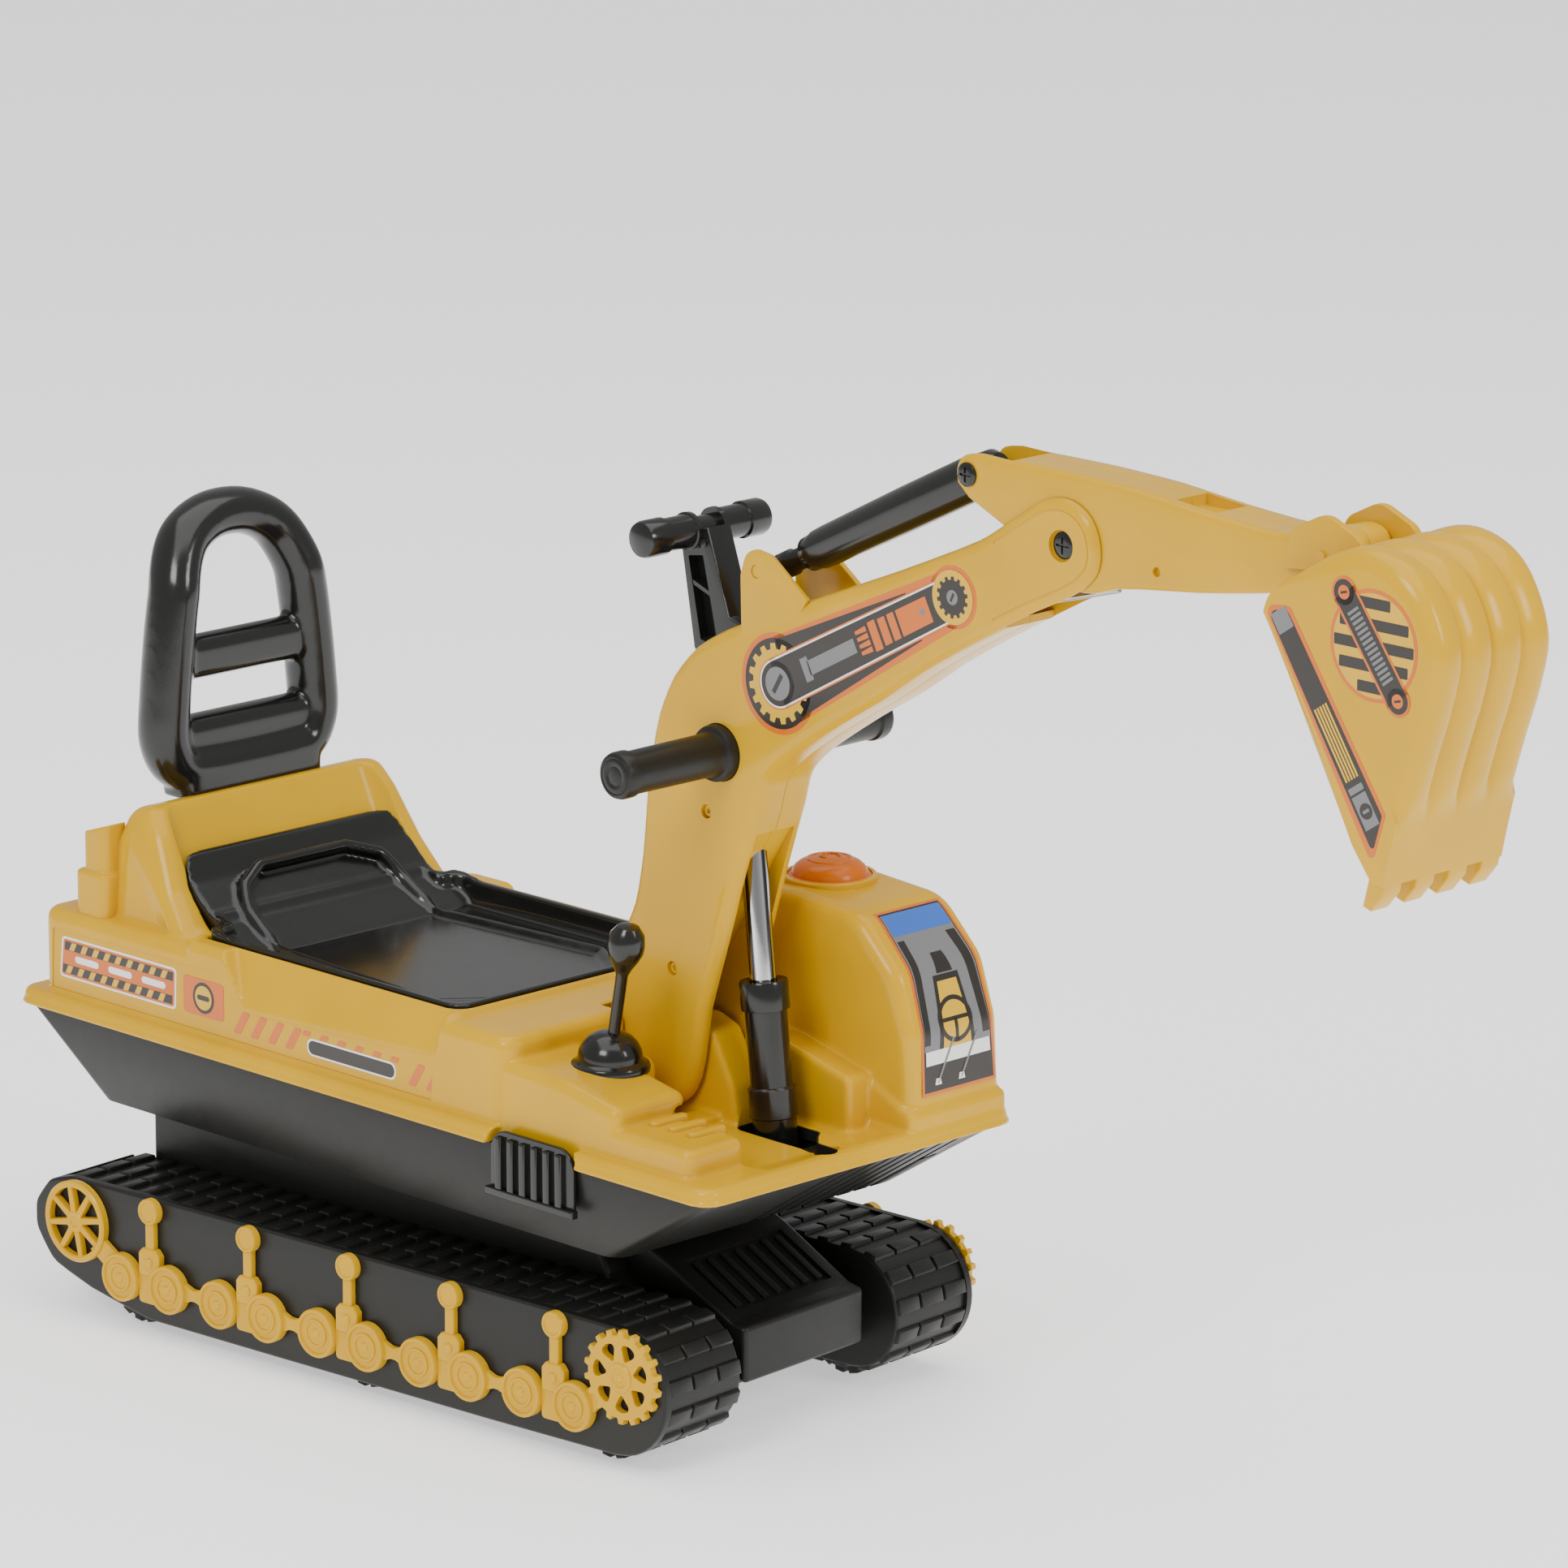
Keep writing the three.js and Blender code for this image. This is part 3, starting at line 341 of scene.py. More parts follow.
def modified(item, kind, **values):
    """Adds a modifier and applies it."""
    modifier = item.modifiers.new("step", kind)
    for key, value in values.items():
        setattr(modifier, key, value)
    graph = bpy.context.evaluated_depsgraph_get()
    mesh = bpy.data.meshes.new_from_object(item.evaluated_get(graph))
    item.modifiers.clear()
    item.data = mesh
    return item


def combine(item, how, tools):
    for tool in tools:
        modified(item, "BOOLEAN", operation=how, solver="MANIFOLD", object=tool)
        bpy.data.objects.remove(tool)
    return item


def cut(item, *tools):
    return combine(item, "DIFFERENCE", tools)


def fuse(item, *parts):
    return combine(item, "UNION", parts)


def common(item, *parts):
    return combine(item, "INTERSECT", parts)


def soften(item, voxel, passes):
    """One skin with small fillets, as a mould leaves them."""
    modified(item, "REMESH", mode="VOXEL", voxel_size=voxel)
    return modified(item, "SMOOTH", factor=0.5, iterations=passes)


def thinned(item, faces):
    """The same skin with fewer triangles, kept where it curves."""
    item.data.calc_loop_triangles()
    return modified(item, "DECIMATE", ratio=min(1, faces / len(item.data.loop_triangles)))


def chamfer(item, width):
    angle = math.radians(30)
    return modified(item, "BEVEL", width=width, segments=2, limit_method="ANGLE", angle_limit=angle)


def mirrored(item):
    """The same on the other side; item itself stays."""
    mesh = item.data.copy()
    mesh.transform(Matrix.Scale(-1, 4, (0, 1, 0)))
    mesh.flip_normals()
    return placed(mesh)


def group(*items):
    """Several closed shapes in one object, each keeping its own material."""
    shape = bmesh.new()
    materials = []
    for item in items:
        first = len(shape.faces)
        shape.from_mesh(item.data)
        shape.faces.ensure_lookup_table()
        for own in item.data.materials:
            if own not in materials:
                materials.append(own)
            for face in shape.faces[first:]:
                face.material_index = materials.index(own)
        bpy.data.objects.remove(item)
    mesh = bpy.data.meshes.new("piece")
    shape.to_mesh(mesh)
    shape.free()
    for material in materials:
        mesh.materials.append(material)
    return placed(mesh)


def inked(item, ink):
    item.data.materials.append(INK[ink])
    return item


def piece(name, item, body, material=None, stands_for=None, crease=38, place=BODY, slot=None):
    """Puts a finished shape in its place on a body; its slot, its material's unless it is given, is
    worked out but not kept.
    """
    item.name = name
    item.data.transform(place)
    item.data.polygons.foreach_set("use_smooth", [True] * len(item.data.polygons))
    item.data.set_sharp_from_angle(angle=math.radians(crease))
    if material is not None:
        item.data.materials.clear()
        item.data.materials.append(material)
    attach(item, body)
    slot or SLOT[material]
    if stands_for:
        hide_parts(stands_for)


def both_sides(name, item, body, material, stands_for, **values):
    """The right-hand piece and its mirror image on the left; {} in a name stands for the side."""
    for side_name, shape in (("left", mirrored(item)), ("right", item)):
        piece(name.format(side_name), shape, body, material, stands_for.format(side_name), **values)


# ---- crawler base ----
TRACK = rounded(
    [
        (-244, 94.7, 18), (-264, 89, 14), (-277.5, 72, 14), (-277.5, 54, 16), (-262, 33, 20),
        (-226, 21, 30), (-172, 10.5, 40), (240.6, 10.6, 0), (256.7, 13.8, 0), (270.3, 22.9, 0),
        (279.4, 36.5, 0), (282.6, 52.6, 0), (279.4, 68.7, 0), (270.3, 82.3, 0), (256.7, 91.4, 0),
        (240.6, 94.7, 0),
    ],
    4,
)
TRACK = spline(TRACK, 3)


def lugs(outline, pitch, bands):
    """Tread blocks stepped along the outline, in bands across the track."""
    line = [Vector(p) for p in (outline if area(outline) > 0 else outline[::-1])]
    ends = list(zip(line, line[1:] + line[:1]))
    total = sum((b - a).length for a, b in ends)
    count = round(total / pitch)
    points, faces = [], []
    walked, k = 0.0, 0
    for a, b in ends:
        length = (b - a).length
        while k < count and k * total / count < walked + length:
            way = (b - a).normalized()
            out = Vector((way.y, -way.x))
            here = a + way * (k * total / count - walked)
            for y0, y1 in bands:
                n = len(points)
                for y, lean in ((y0, 0.7), (y1, -0.7)):
                    for s, h in ((-5.6, -1.5), (-4.4, 2.2), (4.4, 2.2), (5.6, -1.5)):
                        p = here + way * s + out * h
                        points.append((p.x, y + (lean if h > 0 else 0), p.y))
                faces += [(n, n + 1, n + 2, n + 3), (n + 7, n + 6, n + 5, n + 4)]
                faces += [(n + i, n + 4 + i, n + 4 + (i + 1) % 4, n + (i + 1) % 4) for i in range(4)]
            k += 1
        walked += length
    return made(points, faces)


belt = prism(inset(TRACK, 2.4), 76, 146, 2, 0)
side_plate = prism(TRACK, 143.5, 150, 0, 2.2)
for x in WHEEL_X.values():
    cut(belt, block(x - 37, x + 37, 87, 138, -5, 52, 3))
lug_row = chamfer(lugs(inset(TRACK, 2.2), 20, [(77, 97.6), (98.8, 121), (122.2, 143.8)]), 0.7)
pod = group(belt, side_plate, lug_row)
far_pod = mirrored(pod)

PEDESTAL = [
    (-240, 30), (243, 30), (243, 71, 4), (200, 71, 4), (168, 96, 6), (150, 131, 10), (-240, 131, 10),
]
FOOT_PLATE = [
    (120, 40), (268, 40, 3), (268, 77, 4), (257, 79, 5), (203, 108, 8), (150, 131, 5), (120, 131),
]
pedestal = prism(rounded(PEDESTAL, 4), -76, 76, 3, 3)
foot_plate = prism(rounded(FOOT_PLATE, 4), -58, 58, 4, 4)
slope = Vector((258 - 203, 78 - 108)).normalized()
lift = Vector((-slope.y, slope.x))


def on_slope(s, h):
    p = Vector((203, 108)) + slope * s + lift * h
    return p.x, p.y


panel = [on_slope(4, 4), on_slope(54, 4), on_slope(54, -2.4), on_slope(4, -2.4)]
cut(foot_plate, prism(panel, -46, 46))
RIB = [on_slope(7, -3), on_slope(51, -3), on_slope(50, -0.2), on_slope(8, -0.2)]
ribs = [prism(RIB, y - 2.6, y + 2.6, 0.8, 0.8) for y in range(-39, 40, 13)]
cut(pedestal, prism(rounded([(-230, 20), (150, 20), (150, 110, 8), (-230, 110, 8)]), -70, 70))
crawler = group(pod, far_pod, pedestal, foot_plate, *ribs)
piece("crawler_body", crawler, "base", SATIN_BLACK, "crawler_base", place=BASE)

# ---- running-gear trim ----
FACE = -150.4


def disc(x, z, profile, sides=40):
    """A turned boss standing out of the outer face."""
    return turned(profile, (x, FACE, z), (x, FACE - 1, z), sides)


def flat(outline, height, edge=0.9):
    return prism(outline, FACE - height, FACE, edge, 0, steps=3)


ROLLER = [
    (0, 0), (16.2, 0), (16.2, 5.8), (15.6, 6.6), (13.9, 6.6), (13.2, 5.2), (9.6, 5.2), (9.2, 6.2),
    (7.8, 6.2), (7.4, 5.3), (3.4, 5.3), (2.6, 6.1), (0, 6.2),
]
SPOKED_RIM = [(27.6, 0), (27.6, 4.6), (26.6, 5.6), (24.2, 5.6), (23.2, 4.8), (23.2, 0), (27.6, 0)]
SPOKED_BOSS = [(0, 0), (7.4, 0), (7.4, 4.6), (6.6, 5.4), (4, 5.4), (3, 4.6), (0, 4.6)]
SPROCKET_BOSS = [
    (0, 4), (9.6, 4), (9.6, 5.6), (8.8, 6.3), (6.6, 6.3), (5.8, 5.5), (3, 5.5), (2.2, 6.2), (0, 6.2),
]
SPOKE = [(5, 2.4), (24.5, 1.9), (24.5, -1.9), (5, -2.4)]
WINDOW = [(10.5, 0, 1.5), (21, -7.6, 3), (23, 0, 6), (21, 7.6, 3)]
CHEST = [
    (-9.5, 45, 2), (-9.5, 58, 2), (-6, 62, 2), (6, 62, 2), (9.5, 58, 2), (9.5, 47, 2), (6, 43, 2),
    (-8, 43, 2),
]
CHEST_STUD = [(0, 4), (3.4, 4), (3.4, 5.8), (2.6, 6.6), (0, 6.6)]
STEM_HEAD = [(0, 0), (8.8, 0), (8.8, 5.0), (8.2, 5.8), (6.9, 5.8), (6.3, 5.0), (0, 5.0)]
WAIST = [
    (15, 31), (22, 33.5, 4), (26, 33.5, 4), (33, 31), (33, 44), (26, 41.5, 4), (22, 41.5, 4), (15, 44),
]
STEM_PITCH, ROLLER_PITCH, ROLLER_Z = 89.64, 43.3, 37.1


def spoked_wheel():
    parts = [disc(*REAR_HUB, SPOKED_RIM, 56), disc(*REAR_HUB, SPOKED_BOSS)]
    for k in range(8):
        turn = (k + 0.25) * math.pi / 4
        way = Vector((math.cos(turn), math.sin(turn)))
        side = Vector((-way.y, way.x))
        parts.append(flat([tuple(Vector(REAR_HUB) + way * a + side * b) for a, b in SPOKE], 4.8))
    return parts


def sprocket():
    tooth = [(0.0, 27.2), (0.22, 27.2), (0.34, 30.6), (0.66, 30.6), (0.78, 27.2)]
    wheel = flat(toothed(FRONT_HUB, 18, tooth), 5.2)
    for k in range(7):
        turn = Matrix.Rotation(2 * math.pi * (k + 0.35) / 7, 2)
        opening = [tuple(turn @ Vector(p) + Vector(FRONT_HUB)) for p in rounded(WINDOW, 4)]
        cut(wheel, prism(opening, FACE - 9, FACE + 3))
    return [wheel, disc(*FRONT_HUB, SPROCKET_BOSS)]


def running_gear():
    """The side's wheels, its rollers in pairs, and the stems between them."""
    parts = spoked_wheel() + sprocket()
    parts.append(flat(rounded([(-222, 50), (-211, 60, 3), (-186, 44), (-196, 33)]), 3.6))
    parts.append(flat(rounded([(204, 34), (226, 56), (236, 47), (216, 26)]), 3.6))
    for k in range(5):
        x = -192.4 + STEM_PITCH * k
        stub = -165.7 + STEM_PITCH * k
        parts.append(disc(x, ROLLER_Z, ROLLER))
        parts.append(disc(x + ROLLER_PITCH, ROLLER_Z, ROLLER))
        parts.append(disc(stub, 87.1, STEM_HEAD, 32))
        parts.append(flat(rectangle(stub - 3.9, stub + 3.9, 50, 84), 4.2, 1.2))
        parts.append(flat(rounded([(stub + a, b, r) for a, b, r in CHEST], 3), 5.2, 1.2))
        parts.append(disc(stub + 0.4, 52.5, CHEST_STUD, 20))
        parts.append(flat(rectangle(stub - 11, stub + 5, 23.5, 47, 3, 3), 3.6))
        if k < 4:
            waist = [(x + ROLLER_PITCH + a * 0.95, b, *c) for a, b, *c in WAIST]
            parts.append(flat(rounded(waist, 3), 3.8))
    return group(*parts)


both_sides("{}_track_trim", running_gear(), "base", YELLOW, "{}_running_gear", place=BASE)

# ---- wheels ----
TREAD = [(0.0, 28.6), (0.3, 28.6), (0.38, WHEEL_RADIUS), (0.92, WHEEL_RADIUS)]
WHEEL_DISH = [(9, 92), (9, 100), (22, 101), (24, 92), (9, 92)]


def tread_wheel(x, side):
    wheel = prism(toothed((x, WHEEL_RADIUS), 16, TREAD), 92.4, 132.6, 1.6, 1.6, steps=3)
    dish = turned(WHEEL_DISH, (x, 0, WHEEL_RADIUS), (x, 1, WHEEL_RADIUS))
    cut(wheel, pin((x, WHEEL_RADIUS), 90, 134, 4.3), dish)
    if side > 0:
        return wheel
    twin = mirrored(wheel)
    bpy.data.objects.remove(wheel)
    return twin


for place_name, x in WHEEL_X.items():
    for side_name, side in SIDES:
        node = f"{side_name}_{place_name}_wheel"
        piece(node + "_tread", tread_wheel(x, side), node, SATIN_BLACK, node, place=BASE)

# ---- lower tub ----


def tub_ring(x0, x1, half, z):
    return [(x, y, z) for x, y in rectangle(x0, x1, -half, half, 12, 5)]


tub = lofted([tub_ring(-251, 247, 125, 136), tub_ring(-319, 334, 132, 190.6)])
grooves = [rod((244.4, -8 + 15 * k, 133), (331.2, -8 + 15 * k, 187.5), 3.2, 6) for k in range(8)]
cut(tub, *grooves, rod((289, 97, 165), (294, 110, 167), 3.2, 16), block(232, 286, -19, 19, 166, 200, 3))
chamfer(tub, 1.2)
piece("tub", tub, "upper_body", SATIN_BLACK, "lower_tub")

# ---- upper shell ----
SEAT_BACK, CHEEK, SEAT_FRONT = -206, -158, 90


def seat_ring(d, z, back=SEAT_BACK):
    """The seat's outline at a height, narrower between the cheeks of the hump, drawn in by d."""
    half = [
        (back + d, 97 - d, 20), (CHEEK + d, 97 - d, 5), (CHEEK + d, 113 - d, 8),
        (SEAT_FRONT - d, 113 - d, 12),
    ]
    near = [(x, -y, r) for x, y, r in half]
    return [(x, y, z) for x, y in rounded(near + half[::-1], 5)]


def across(corners, y0, y1, edge=0.0):
    return prism(rounded(corners, 7), y0, y1, edge, edge)


HUMP = [
    (-268, 198), (-150, 198), (-150, 252), (-171, 264, 14), (-189, 286, 30), (-208, 320, 18),
    (-222, 336, 12), (-244, 332, 16), (-260, 296, 30),
]
hump = across(HUMP, -119, 119, 13)
common(
    hump,
    prism(rounded([(-268, -119, 32), (-130, -119), (-130, 119), (-268, 119, 32)]), 190, 345, along="z"),
)
for vertex in hump.data.vertices:
    vertex.co.y *= 1 - 0.0016 * max(vertex.co.z - 259, 0)
HOOD = [
    (183, 193), (335, 193), (331, 262, 30), (318, 300, 30), (284, 333, 34), (222, 337, 12),
    (183, 334, 10),
]
RIGHT_TOWER = [(120, 193), (249, 193), (248.4, 233, 7), (200, 242, 30), (120, 246)]
shell = block(-322, 339, -137, 137, 191, 202, 14, 5)
fuse(
    shell, block(-323.5, 340.5, -138.6, 138.6, 190.9, 194, 15, 1.5),
    block(-306, 152, -129, 36, 191, 259, 14, 8), block(-306, 128, -129, 129, 191, 259, 14, 8),
    block(-165, 96, -129, 129, 191, 263, 14, 6), hump, block(120, 200, -127, -40, 191, 241, 12, 8),
    across(RIGHT_TOWER, -127, -64, 8), block(120, 200, 40, 127, 191, 241, 12, 8),
    block(235, 313.4, -127, -77, 191, 220, 8, 5),
    across(
        [(183, 191), (337, 191), (337, 213, 5), (329, 216, 6), (299, 230, 12), (260, 240), (183, 240)],
        44, 131, 4,
    ),
    across(HOOD, 47, 130, 9),
)
pocket = lofted([seat_ring(0, 240), seat_ring(0, 296), seat_ring(0, 350, SEAT_BACK - 26)])
front_dip = across([(225, 197.5), (312, 197.5, 20), (334, 203), (334, 225), (225, 225)], -76, 42, 4)
leg_slot = common(pin((175, 240), 14.2, 28, 48), block(110, 262, 10, 40, 150, 262, 1))
KEYHOLE = [
    (238, -17, 10), (276, -18, 6), (301, -18, 6), (316, -21, 6), (329, -34, 7), (335, -20, 8),
    (320, -2, 6), (300, -1, 3), (291, 8, 4), (284, 17, 6), (238, 17, 10),
]
ARCH = [(140, 180), (222, 180), (222, 206, 16), (140, 206, 16)]
SLOPE_REAR = [(-99, -129.3, 229), (-101, -145, 229), (-131, -145, 275), (-129, -110, 275)]
SLOPE_FRONT = [(86, -129.3, 236), (86, -145, 236), (91, -145, 275), (91, -110, 275)]
PANEL = [(-292, 246), (-131, 248, 8), (-111, 235, 6), (-99, 226.5), (83.5, 235), (81, 205), (-294, 205)]
bevel = lofted([SLOPE_REAR, SLOPE_FRONT])
panel = prism(rounded(PANEL, 4), -131, -128.1)
cut(
    shell, pocket, leg_slot, mirrored(leg_slot), across(ARCH, -145, -127), across(ARCH, 127, 145),
    mirrored(bevel), bevel, front_dip,
)
fuse(
    shell,
    across(
        [(162, 191), (241, 191), (235, 222, 12), (217, 255, 10), (196, 262, 12), (162, 246, 8)], -13,
        13, 3,
    ),
    across([(200, 191), (300, 191), (299, 233, 6), (240, 247, 10), (200, 250)], 26, 60, 4),
)
soften(shell, 1.5, 5)
cut(
    shell, prism(rounded(KEYHOLE), 170, 215, along="z"),
    rod((*BUTTON_AT, 320), (*BUTTON_AT, 350), 27.4, 48), mirrored(panel), panel,
)
for k in range(3):
    fuse(shell, prism(rectangle(251.5 + 17 * k, 259.5 + 17 * k, -104, -73, 3.9), 214, 223, 0, 2.4, "z"))
piece("shell", thinned(shell, 190000), "upper_body", YELLOW, "upper_shell", 60)

LINER_WALLS = [(0.15, 190), (0.15, 197.2), (1.1, 197.2), (1.1, 190)]
liner = [[(x, y, z) for x, y in inset(rounded(KEYHOLE), d)] for d, z in LINER_WALLS]
piece("keyhole_liner", lofted(liner, looped=True), "upper_body", SATIN_BLACK)


def vent():
    plate = across([(143, 160), (219, 160), (219, 202, 14), (143, 202, 14)], -135.5, -132.5, 0.8)
    outlines = [rectangle(150 + 11 * k, 155.6 + 11 * k, 164, 198) for k in range(6)]
    bars = [prism(outline, -139, -133, 1.4, 1.4) for outline in outlines]
    foot_bar = prism(rectangle(141, 221, 159, 164), -139, -133, 1.2, 1.2)
    return group(plate, foot_bar, *bars)


both_sides("{}_vent", vent(), "upper_body", GLOSS_BLACK, "{}_foot_vent")

exhaust = fuse(
    prism(rectangle(-278, -246, -122.5, -95, 7), 257, 288, 0, 2.4, "z"),
    cut(
        prism(rectangle(-273, -249, -119.5, -97, 7), 280, 334, 0, 0, "z"),
        prism([(-285, 309), (-235, 326), (-235, 340), (-285, 340)], -130, -80),
    ),
)
soften(exhaust, 0.9, 5)
piece("exhaust", exhaust, "upper_body", YELLOW, "exhaust_stack", 60)

# ---- seat and backrest ----
SEAT_SIDE = [
    (-215, 235), (95, 235), (95, 264.5), (-130, 264.5), (-168, 271, 16), (-190, 290, 14),
    (-201, 305.5, 5), (-215, 307),
]
seat = lofted([seat_ring(4, 243), seat_ring(0.4, 275), seat_ring(0.4, 320)])
common(seat, across(SEAT_SIDE, -125, 125))
bowl = lofted([seat_ring(13, 249), seat_ring(9, 254), seat_ring(6.5, 275), seat_ring(6.5, 330)])
BOWL_SIDE = [
    (-125, 240), (95, 240), (95, 340), (-197, 340), (-191, 306), (-183, 290, 14), (-163, 266, 30),
    (-132, 250, 20),
]
common(bowl, across(BOWL_SIDE, -120, 120))
cut(seat, bowl)


def swept(points, radius, sides=20, looped=True):
    """A round bar along a line of points."""
    line = [Vector(p) for p in points]
    rings = []
    for i, here in enumerate(line):
        before = line[i - 1] if (looped or i) else here
        after = line[(i + 1) % len(line)] if (looped or i < len(line) - 1) else here
        way = (after - before).normalized()
        side = way.orthogonal() if abs(way.x) > 0.9 else way.cross(Vector((1, 0, 0)))
        side.normalize()
        up = way.cross(side)
        rings.append([here + side * a + up * b for a, b in circle(0, 0, radius, sides)])
    return lofted(rings, looped)


def seat_height(x):
    """The height of the seat's inner surface, floor and slanting back."""
    if x > -132:
        return 249.5
    return 249.5 + (-132 - x) * 0.62 + max(0, -163 - x) * 0.55


def seat_ridge():
    """The line of the raised contour: a rounded outline laid on the seat's inner surface."""
    corners = rounded([(-184, -66, 26), (62, -84, 26), (62, 84, 26), (-184, 66, 26)], 8)
    laid = [Vector((x, y, seat_height(x))) for x, y in corners]
    fine = [a.lerp(b, k / 12) for a, b in zip(laid, laid[1:] + laid[:1]) for k in range(12)]
    kept = [p for i, p in enumerate(fine) if i == 0 or (fine[i - 1] - p).length > 0.5]
    return [(p.x, p.y, seat_height(p.x)) for p in kept]


fuse(seat, swept(seat_ridge(), 4.2, 12))
soften(seat, 1.5, 8)
piece("seat_pan", seat, "upper_body", GLOSS_BLACK, "seat", 60)

HALF_ARCH = [
    (46, 349), (66, 352), (77, 368), (76, 400), (69, 450), (62, 478), (47, 500), (24, 511), (0, 514),
]
ARCHWAY = [(-46, 349), *HALF_ARCH, *[(-y, z) for y, z in HALF_ARCH[-2:0:-1]]]
hoop = [(-250 - max(0, z - 470) * 0.25, y * 0.84, z) for y, z in spline(ARCHWAY, 5)]
backrest = swept(hoop, 16, 28)
for vertex in backrest.data.vertices:
    vertex.co.x = -250 + (vertex.co.x + 250) * 1.2

lower_bar = prism(rounded([(-262, 346, 8), (-238, 346, 8), (-238, 384, 10), (-262, 384, 10)]), -62, 62)
upper_bar = prism(rectangle(-261, -239, 408, 438, 10), -60, 60)
neck = block(-263, -231, -60, 60, 330, 352, 8)
fuse(backrest, upper_bar, lower_bar, neck)
soften(backrest, 1.9, 14)
piece("backrest_hoop", backrest, "upper_body", GLOSS_BLACK, "backrest", 60)

# ---- horn button and levers ----
dome = [
    (0, 324), (27.2, 324), (27.2, 337.5), (26.8, 338.6), (25.6, 339.2), (24.8, 339.4), (24.4, 341),
    (22.6, 344.4), (19.6, 346.8), (16.6, 348.2), (15.2, 348.5), (14.6, 349.5), (12.6, 349.8),
    (11.8, 349.2), (8, 350.2), (0, 350.6),
]
button = turned(dome, (*BUTTON_AT, 0), (*BUTTON_AT, 1), 64)
swirl = [(*polar(BUTTON_AT, 6, 0.6 + 4.4 * k / 14), 350.4) for k in range(15)]
button = group(button, swept(swirl, 1.0, 8, False))
piece("button_dome", button, "button", ORANGE, "sound_button")
COLLAR = [(27.0, 335), (30.5, 335), (30.5, 338.6), (29.6, 339.4), (27.4, 339.4), (27.0, 335)]
piece("button_collar", turned(COLLAR, (*BUTTON_AT, 0), (*BUTTON_AT, 1), 64), "upper_body", YELLOW)
LEVERS = {"right": ((192, -78, 245), 0.19), "left": ((150, 80, 245), -0.12)}
STICK = [
    (0, -8), (7, -6), (8, 0), (6.6, 6), (4.6, 9), (3.9, 20), (3.9, 58), (6, 63), (9, 68), (11.6, 74),
    (12, 79), (10.8, 86), (7, 91), (3, 92), (0, 92),
]
BOOT = [
    (0, -7), (25, -7), (25.6, -3.5), (24.6, -1.6), (21.6, -0.6), (20.6, 0.4), (20.6, 3), (19.9, 6.5),
    (17.6, 11), (13.8, 15), (9, 17.6), (6, 18.4), (0, 18.4),
]
for side_name, (at, lean) in LEVERS.items():
    x, y, z = at
    node = f"{side_name}_lever"
    boot = turned(BOOT, at, (x, y, z + 1), 56)
    piece(node + "_dome_boot", boot, "upper_body", GLOSS_BLACK, node + "_dome")
    stick = turned(STICK, at, (x + lean * 100, y, z + 100), 36)
    piece(f"{side_name}_stick", stick, node, GLOSS_BLACK, node)

# ---- boom ----
BOOM = [
    (137, 255), (139, 268), (146, 290), (148, 313), (156, 331), (163, 364), (168, 412), (178, 457),
    (191, 483), (212, 505), (240, 521), (262, 530), (317, 553), (386, 581), (454, 611), (490, 634),
    (510, 645.5), (530, 647.5), (546, 639), (554, 622), (552, 606), (541, 594), (502, 574), (472, 558),
    (439, 540), (405, 520), (371, 497), (336, 476), (308, 458), (287, 443), (272, 428), (265, 406),
    (251, 366), (236, 318), (221, 272), (212, 226), (203, 211), (187, 201.5), (167, 202), (150, 212),
    (140, 230),
]
BOOM_LINE = spline(BOOM, 3)
EAR = [(255, 520), (254, 558, 6), (260, 577, 12), (280, 574, 10), (312, 551), (300, 530)]
LEG_WINDOW = [
    (150, 180), (300, 180), (300, 383), (258, 392), (252, 383), (200, 300), (150, 268), (130, 268),
    (120, 180),
]
TIP_MOUTH = [(476, 540), (476, 600), (456, 600), (456, 700), (600, 700), (600, 540)]
LEVER_SLOT = [(180, 469), (268, 492), (268, 560), (180, 560)]
PLUGS_AT = [(224.6, 402), (194, 294.5)]


def screw(x, z, y, radius, side):
    """A cross-head screw's head, its top at y."""
    profile = [(0, -3), (radius, -3), (radius, -1.2), (radius * 0.8, -0.3), (radius * 0.4, 0), (0, 0)]
    head = turned(profile, (x, y, z), (x, y + side, z), 28)
    for a, b in ((radius * 0.62, 0.7), (0.7, radius * 0.62)):
        cut(head, prism(rectangle(x - a, x + a, z - b, z + b), y - 1.3, y + 1.3))
    return head


def boom_half():
    """The right half: a moulded skin, open behind the cylinder and at the tip."""
    half = prism(BOOM_LINE, -26, -0.15, 8, 0.5, steps=6)
    fuse(half, across(EAR, -26, -21.5, 1.2))
    hollow = common(
        prism(inset(BOOM_LINE, 4.2), -21.5, 5), prism(rectangle(100, 700, 398, 700), -40, 10),
    )
    tip_line = prism(inset(BOOM_LINE, 6.6), -27, -25.5)
    cut(tip_line, prism(inset(BOOM_LINE, 8), -28, -24))
    common(tip_line, prism(rectangle(470, 600, 500, 690), -40, 10))
    openings = [prism(LEG_WINDOW, -16.6, 5), prism(TIP_MOUTH, -21.5, 5), prism(LEVER_SLOT, -12, 5)]
    recesses = [pin(at, -30, -19, 4.6) for at in PLUGS_AT]
    recesses.append(pin(BAR_AT, -30, -12, 18.6, 48))
    recesses.append(pin(ARM_PIVOT, -30, -22.9, 9.8, 40))
    recesses.append(pin(BOOM_EAR, -30, -18, 4.2))
    return cut(half, hollow, tip_line, *openings, *recesses)


